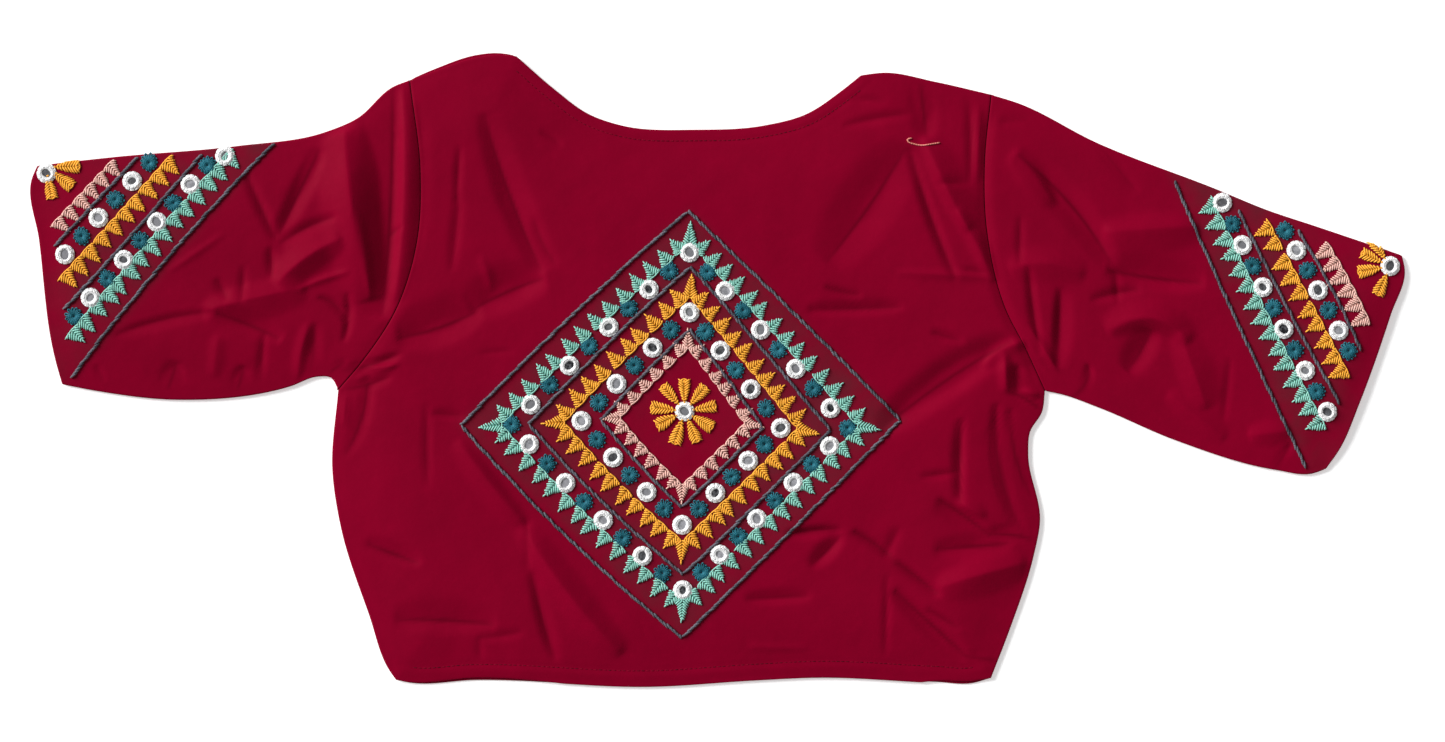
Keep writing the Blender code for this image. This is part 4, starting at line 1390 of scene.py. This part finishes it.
def sleeve_rings(upper, lower, inset):
    """Rings of a flattened tube, this far in from its outer face."""
    reach = FOLD_RADIUS - inset
    ways = [upper[:, 1] - upper[:, 0], upper[:, -2] - upper[:, -1]]
    ways = [way / np.linalg.norm(way, axis=1)[:, None] for way in ways]
    folds = []
    for edge_points, way in ((upper[:, 0], ways[0]), (upper[:, -1], ways[1])):
        flat = edge_points[:, None] + way[:, None] * (FOLD_RADIUS - reach * np.cos(FOLD_TURNS))[None, :, None]
        folds.append(with_height(flat, FOLD_RADIUS + reach * np.sin(FOLD_TURNS)))
    top = with_height(upper[:, 1:-1], read_map(upper_map(), upper[:, 1:-1]) - inset)
    low = with_height(lower[:, 1:-1], read_map(lower_map(), lower[:, 1:-1]) + inset)
    return np.concatenate([top, folds[1], low[:, ::-1], folds[0][:, ::-1]], axis=1)


def sleeve_object(side):
    """A sleeve laid flat as one tube, its ends rounded over."""
    (upper, lower), outward = sleeve_grids(side)
    drawn = drawn_to_folds(upper)
    outer, inner = sleeve_rings(drawn, lower, 0.0), sleeve_rings(drawn, lower, wall())
    half = wall() / 2
    middle = (outer + inner) / 2
    push = np.array([*outward, 0.0]) * half
    ends = []
    for k, sign in ((0, -1.0), (-1, 1.0)):
        reach = outer[k] - middle[k]
        ends.append([middle[k] + reach * math.cos(t) + sign * push * (math.sin(t) - 1) for t in RIM_TURNS])
    outer[0], outer[-1] = ends[0][0], ends[1][0]
    inner[0], inner[-1] = ends[0][4], ends[1][4]
    count, around = outer.shape[0], outer.shape[1]
    loop = np.concatenate([outer, ends[1][1:4], inner[::-1], ends[0][3:0:-1]])
    rings = len(loop)
    faces = grid_faces(rings, around, wrap=True)
    last = (rings - 1) * around
    start, after = np.arange(around), (np.arange(around) + 1) % around
    faces = np.concatenate([faces, np.stack([last + start, last + after, after, start], axis=1)])
    points = loop.reshape(-1, 3)
    flat = points[:, :2]
    on_top = points[:, 2] > FOLD_RADIUS
    # Painted shade along the troughs, on the sleeve's upper face only.
    shade, pinch = read_map(ground_map(), flat), read_map(folds_maps()[1], flat) * on_top
    name = f"sleeve_{side}_cloth"
    made = mesh_object(name, points, faces, cotton(), flat * MM, shade=shade, pinch=pinch)
    return faced_out(made), upper, lower


# One operator for each piece or group of like pieces


class CHOLI_OT_back(Operator):
    """Make the back panel with its folds, turned hem and neck"""

    bl_idname = "choli.back"
    bl_label = "Back"

    def execute(self, context):
        grid = back_grid()
        drawn = drawn_to_folds(grid)
        top = read_map(upper_map(), drawn)
        # The back's mesh carries the painted shade along the troughs.
        piece = sheet_object(
            "back_cloth", drawn, top, top - wall(), cotton(), shade=ground_map(), pinch=folds_maps()[1]
        )
        finished(piece, "cotton", "back")
        return {"FINISHED"}


class CHOLI_OT_fronts(Operator):
    """Make the two fronts, which lie under the back"""

    bl_idname = "choli.fronts"
    bl_label = "Fronts"

    def execute(self, context):
        for side in ("left", "right"):
            grid = front_grid(side)
            under = read_map(lower_map(), grid)
            piece = sheet_object(f"front_{side}_cloth", grid, under + wall(), under, cotton())
            finished(piece, "cotton", "front_" + side)
        return {"FINISHED"}


class CHOLI_OT_sleeves(Operator):
    """Make the two sleeves as flattened tubes"""

    bl_idname = "choli.sleeves"
    bl_label = "Sleeves"

    def execute(self, context):
        for side in ("left", "right"):
            piece, upper, lower = sleeve_object(side)
            finished(piece, "cotton", "sleeve_" + side)
        return {"FINISHED"}


class CHOLI_OT_mirrors(Operator):
    """Make the mirrors and the thread rings that hold them"""

    bl_idname = "choli.mirrors"
    bl_label = "Mirrors"

    def execute(self, context):
        rng = np.random.default_rng(SEED + 20)
        count = context.scene.choli_threads.ring_stitches
        top_rows, under_rows = [], []
        pattern = glass_disc()
        for panel, spots in mirror_spots().items():
            discs = []
            for spot in spots:
                plane = disc_plane(spot)
                # Painted reflection: each disc is given a dark or a pale tone for what it would reflect.
                tone = rng.uniform(0.0, 0.25) if rng.random() < 0.36 else rng.uniform(0.45, 1.0)
                discs.append(disc_copy(pattern, spot, plane, tone))
                top_rows.append(ring(spot, plane, count, rng))
                if panel != "back":
                    flat = (0.0, 0.0, max(read_map(lower_map(), spot) - DISC_THICKNESS, LEAST_HEIGHT))
                    discs.append(disc_copy(pattern, spot, flat, tone))
                    under_rows.append(ring(spot, plane, count, rng, under=True))
            bpy.ops.object.select_all(action="DESELECT")
            for disc in discs:
                disc.select_set(True)
            context.view_layer.objects.active = discs[0]
            bpy.ops.object.join()
            discs[0].name = f"mirrors_{panel}_glass"
            nodes = sorted(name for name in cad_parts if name.startswith(f"mirror_{panel}_"))
            finished(discs[0], "mirror", *nodes)
        bpy.data.objects.remove(pattern)
        stitched("mirror_rings", "white", summed(*top_rows), summed(*under_rows))
        return {"FINISHED"}


def glass_disc():
    """The disc that every mirror is a copy of, with its rims bevelled and its under face at the origin."""
    bpy.ops.object.select_all(action="DESELECT")
    bpy.ops.mesh.primitive_cylinder_add(
        vertices=DISC_SIDES,
        radius=DISC_RADIUS * MM,
        depth=DISC_THICKNESS * MM,
        location=(0.0, 0.0, 0.5 * DISC_THICKNESS * MM),
    )
    bpy.ops.object.transform_apply(location=True, rotation=True, scale=True)
    disc = bpy.context.object
    rims = disc.modifiers.new("rims", "BEVEL")
    rims.width, rims.segments, rims.limit_method = 0.00025, 2, "ANGLE"
    bpy.ops.object.modifier_apply(modifier="rims")
    bpy.ops.object.shade_smooth_by_angle(angle=math.radians(50.0))
    disc.data.materials.append(mirror_material())
    return disc


def disc_copy(pattern, spot, plane, tone):
    """A copy of the disc with a mesh of its own, laid at a spot on a plane of two slopes and a height."""
    mesh = pattern.data.copy()
    x, y, z = placed([(*spot, plane[2])])[0]
    mesh.transform(Matrix(((1, 0, 0, x), (0, 1, 0, y), (plane[0], plane[1], 1, z), (0, 0, 0, 1))))
    layer = mesh.attributes.new("shade", "FLOAT", "POINT")
    layer.data.foreach_set("value", np.full(len(mesh.vertices), tone, np.float32))
    return added("disc", mesh)


def stitched(name, colour, rows, below=()):
    """A piece of thread work on the upper face and, on the sleeves, on the face below."""
    finished(stitches(name, kept_on_sleeve(rows), thread(colour)), "cotton")
    if len(below):
        lower = stitches(name + "_below", kept_on_sleeve(below), thread(colour), under=True)
        finished(lower, "cotton")


def worked(name, colour, motifs):
    """Thread work from motifs, each a panel and its stitches. A sleeve has each motif on both faces."""
    below = [rows for panel, rows in motifs if panel != "back"]
    stitched(name, colour, summed(*(rows for _, rows in motifs)), summed(*below))


class CHOLI_OT_triangles(Operator):
    """Make the rows of triangles that point out from the middle"""

    bl_idname = "choli.triangles"
    bl_label = "Triangles"

    def execute(self, context):
        rng = np.random.default_rng(SEED + 30)
        for colour in ("mint", "yellow", "pink"):
            motifs = []
            for panel, thread_name, row, height, width, count, corner in TRIANGLE_ROWS:
                if thread_name != colour:
                    continue
                for side in range(row_sides(panel)):
                    for k in range(count):
                        share = (k + 0.5 + rng.uniform(-0.08, 0.08)) / count
                        place, out = row_point(panel, row, side, share)
                        size = rng.uniform(0.93, 1.06, 2)
                        rows = triangle(height * size[0], width * size[1], rng)
                        motifs.append((panel, turned(rows, place, out)))
                    if corner:
                        place = row_point(panel, row, side, 0.0)[0]
                        middle = np.array(DIAMONDS[panel]["middle"])
                        rows = triangle(corner, width * 0.9, rng)
                        motifs.append((panel, turned(rows, place, place - middle)))
            worked(colour + "_triangles", colour, motifs)
        return {"FINISHED"}


class CHOLI_OT_flowers(Operator):
    """Make the petals round the middle mirrors and the rosettes between the others"""

    bl_idname = "choli.flowers"
    bl_label = "Flowers"

    def execute(self, context):
        rng = np.random.default_rng(SEED + 40)
        petals, rosettes = [], []
        for panel, diamond in DIAMONDS.items():
            for degrees in diamond["petals"]:
                turn = math.radians(degrees + rng.uniform(-3.0, 3.0))
                out = polar(1.0, turn)
                length = (FLOWER_END - FLOWER_START) * rng.uniform(0.93, 1.05)
                place = np.array(diamond["middle"]) + FLOWER_START * out
                rows = petal(length, PETAL_WIDTH * rng.uniform(0.9, 1.08), rng)
                petals.append((panel, turned(rows, place, out)))
        for panel, place, out in stations(with_mirrors=False):
            rosettes.append((panel, turned(rosette(rng), place, out)))
        worked("petals", "yellow", petals)
        worked("rosettes", "teal", rosettes)
        return {"FINISHED"}


class CHOLI_OT_ropes(Operator):
    """Make the outline ropes of the diamonds"""

    bl_idname = "choli.ropes"
    bl_label = "Ropes"

    def execute(self, context):
        rng = np.random.default_rng(SEED + 50)
        ropes = [(panel, rope(panel, number, rng)) for panel in DIAMONDS for number in range(3)]
        worked("ropes", "slate", ropes)
        return {"FINISHED"}


TACKING_THREAD = [
    (121.2, 146.0), (118.8, 145.4), (119.4, 143.8), (122.5, 142.6), (128.2, 141.6), (133.5, 142.3),
    (138.7, 143.2),
]
ARMHOLE_STITCHES = 150


class CHOLI_OT_seams(Operator):
    """Make the stitches of the hem, neck and armholes and a loose end of tacking thread"""

    bl_idname = "choli.seams"
    bl_label = "Seams"

    def execute(self, context):
        rng = np.random.default_rng(SEED + 60)
        rows = []
        for name, way in (("hem", 1.0), ("neck", -1.0)):
            line = offset_line(edge(name, 120), way * TURNED_EDGES[name])[3:-3]
            spots = resample(line, round(run_length(line) / TOPSTITCH_PITCH))
            for a, b in zip(spots[:-1], spots[1:]):
                start, end = a + 0.12 * (b - a), a + 0.88 * (b - a)
                rows.append((*start, *end, 0.18, 0.12, 0.05, 0.05, rng.uniform(0, 1)))
        cloth = context.scene.choli_cloth
        material = thread_material("sewing_thread", tuple(cloth.seam_thread), tuple(cloth.colour))
        for name in ("armhole_left", "armhole_right"):
            spots = resample(edge(name), ARMHOLE_STITCHES)
            for a, b in zip(spots[:-1], spots[1:]):
                rows.append((*a, *(b + 0.1 * (b - a)), 0.42, 0.0, -0.75, -0.75, 0.0))
        finished(stitches("topstitching", rows, material), "cotton")
        tack = resample(curve(TACKING_THREAD, 60), 16)
        rows = []
        for a, b in zip(tack[:-1], tack[1:]):
            rows.append((*(a - 0.4 * (b - a)), *(b + 0.4 * (b - a)), 0.40, 0.0, 0.45, 0.45, 0.6))
        stitched("tacking_thread", "salmon", summed(rows))
        return {"FINISHED"}


CAMERA_LENS, SENSOR_WIDTH, FRAME_WIDTH = 100.0, 36.0, 0.910
CAMERA_AIM = (2.5, -0.4, 3.5)


class CHOLI_OT_stage(Operator):
    """Make the floor, the lights and the camera"""

    bl_idname = "choli.stage"
    bl_label = "Stage"

    def execute(self, context):
        looks = context.scene.choli_stage
        bpy.ops.object.select_all(action="DESELECT")
        bpy.ops.mesh.primitive_plane_add(size=12.0, location=(0.0, 0.0, -0.0004))
        floor = context.object
        floor.name = "floor"
        bpy.ops.object.transform_apply(location=True, rotation=True, scale=True)
        floor.data.materials.append(floor_material(tuple(looks.floor)))
        key, fill = bpy.data.lights.new("key", "SUN"), bpy.data.lights.new("fill", "AREA")
        key.energy, key.angle = looks.key, math.radians(30.0)
        fill.energy, fill.size = looks.fill, 2.0
        for light, place in ((key, (-1.9, 1.1, 1.15)), (fill, (1.5, -0.9, 1.9))):
            lamp = added(light.name, light)
            lamp.location = place
            lamp.rotation_euler = (-Vector(place)).to_track_quat("-Z", "Y").to_euler()
        world = bpy.data.worlds.new("studio")
        world.use_nodes = True
        world.node_tree.nodes["Background"].inputs["Color"].default_value = (1.0, 1.0, 1.0, 1.0)
        world.node_tree.nodes["Background"].inputs["Strength"].default_value = looks.world
        context.scene.world = world
        context.scene.view_settings.view_transform = "Standard"
        lens = bpy.data.cameras.new("camera")
        lens.lens, lens.sensor_width = CAMERA_LENS, SENSOR_WIDTH
        camera = added("camera", lens)
        aim = placed([CAMERA_AIM])[0]
        camera.location = (aim[0], aim[1], aim[2] + FRAME_WIDTH * CAMERA_LENS / SENSOR_WIDTH)
        context.scene.camera = camera
        return {"FINISHED"}


OPERATORS = (
    CHOLI_OT_back, CHOLI_OT_fronts, CHOLI_OT_sleeves, CHOLI_OT_mirrors, CHOLI_OT_triangles,
    CHOLI_OT_flowers, CHOLI_OT_ropes, CHOLI_OT_seams, CHOLI_OT_stage,
)


class CHOLI_PT_panel(Panel):
    """Sizes, colours and pieces of the choli"""

    bl_label = "Choli blouse"
    bl_idname = "CHOLI_PT_panel"
    bl_space_type = "VIEW_3D"
    bl_region_type = "UI"
    bl_category = "Choli"

    def draw(self, context):
        column = self.layout.column()
        for group in (context.scene.choli_cloth, context.scene.choli_threads, context.scene.choli_stage):
            for name in group.bl_rna.properties.keys():
                if name not in ("rna_type", "name"):
                    column.prop(group, name)
        for operator in OPERATORS:
            column.operator(operator.bl_idname)


GROUPS = {"choli_cloth": CholiCloth, "choli_threads": CholiThreads, "choli_stage": CholiStage}


def register():
    for kind in (*GROUPS.values(), *OPERATORS, CHOLI_PT_panel):
        bpy.utils.register_class(kind)
    for name, group in GROUPS.items():
        setattr(bpy.types.Scene, name, PointerProperty(type=group))


def unregister():
    for name in GROUPS:
        delattr(bpy.types.Scene, name)
    for kind in reversed((*GROUPS.values(), *OPERATORS, CHOLI_PT_panel)):
        bpy.utils.unregister_class(kind)


def main():
    """Makes every piece."""
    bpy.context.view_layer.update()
    register()
    bpy.ops.choli.back()
    bpy.ops.choli.fronts()
    bpy.ops.choli.sleeves()
    bpy.ops.choli.mirrors()
    bpy.ops.choli.triangles()
    bpy.ops.choli.flowers()
    bpy.ops.choli.ropes()
    bpy.ops.choli.seams()
    bpy.ops.choli.stage()


if __name__ == "__main__":
    main()
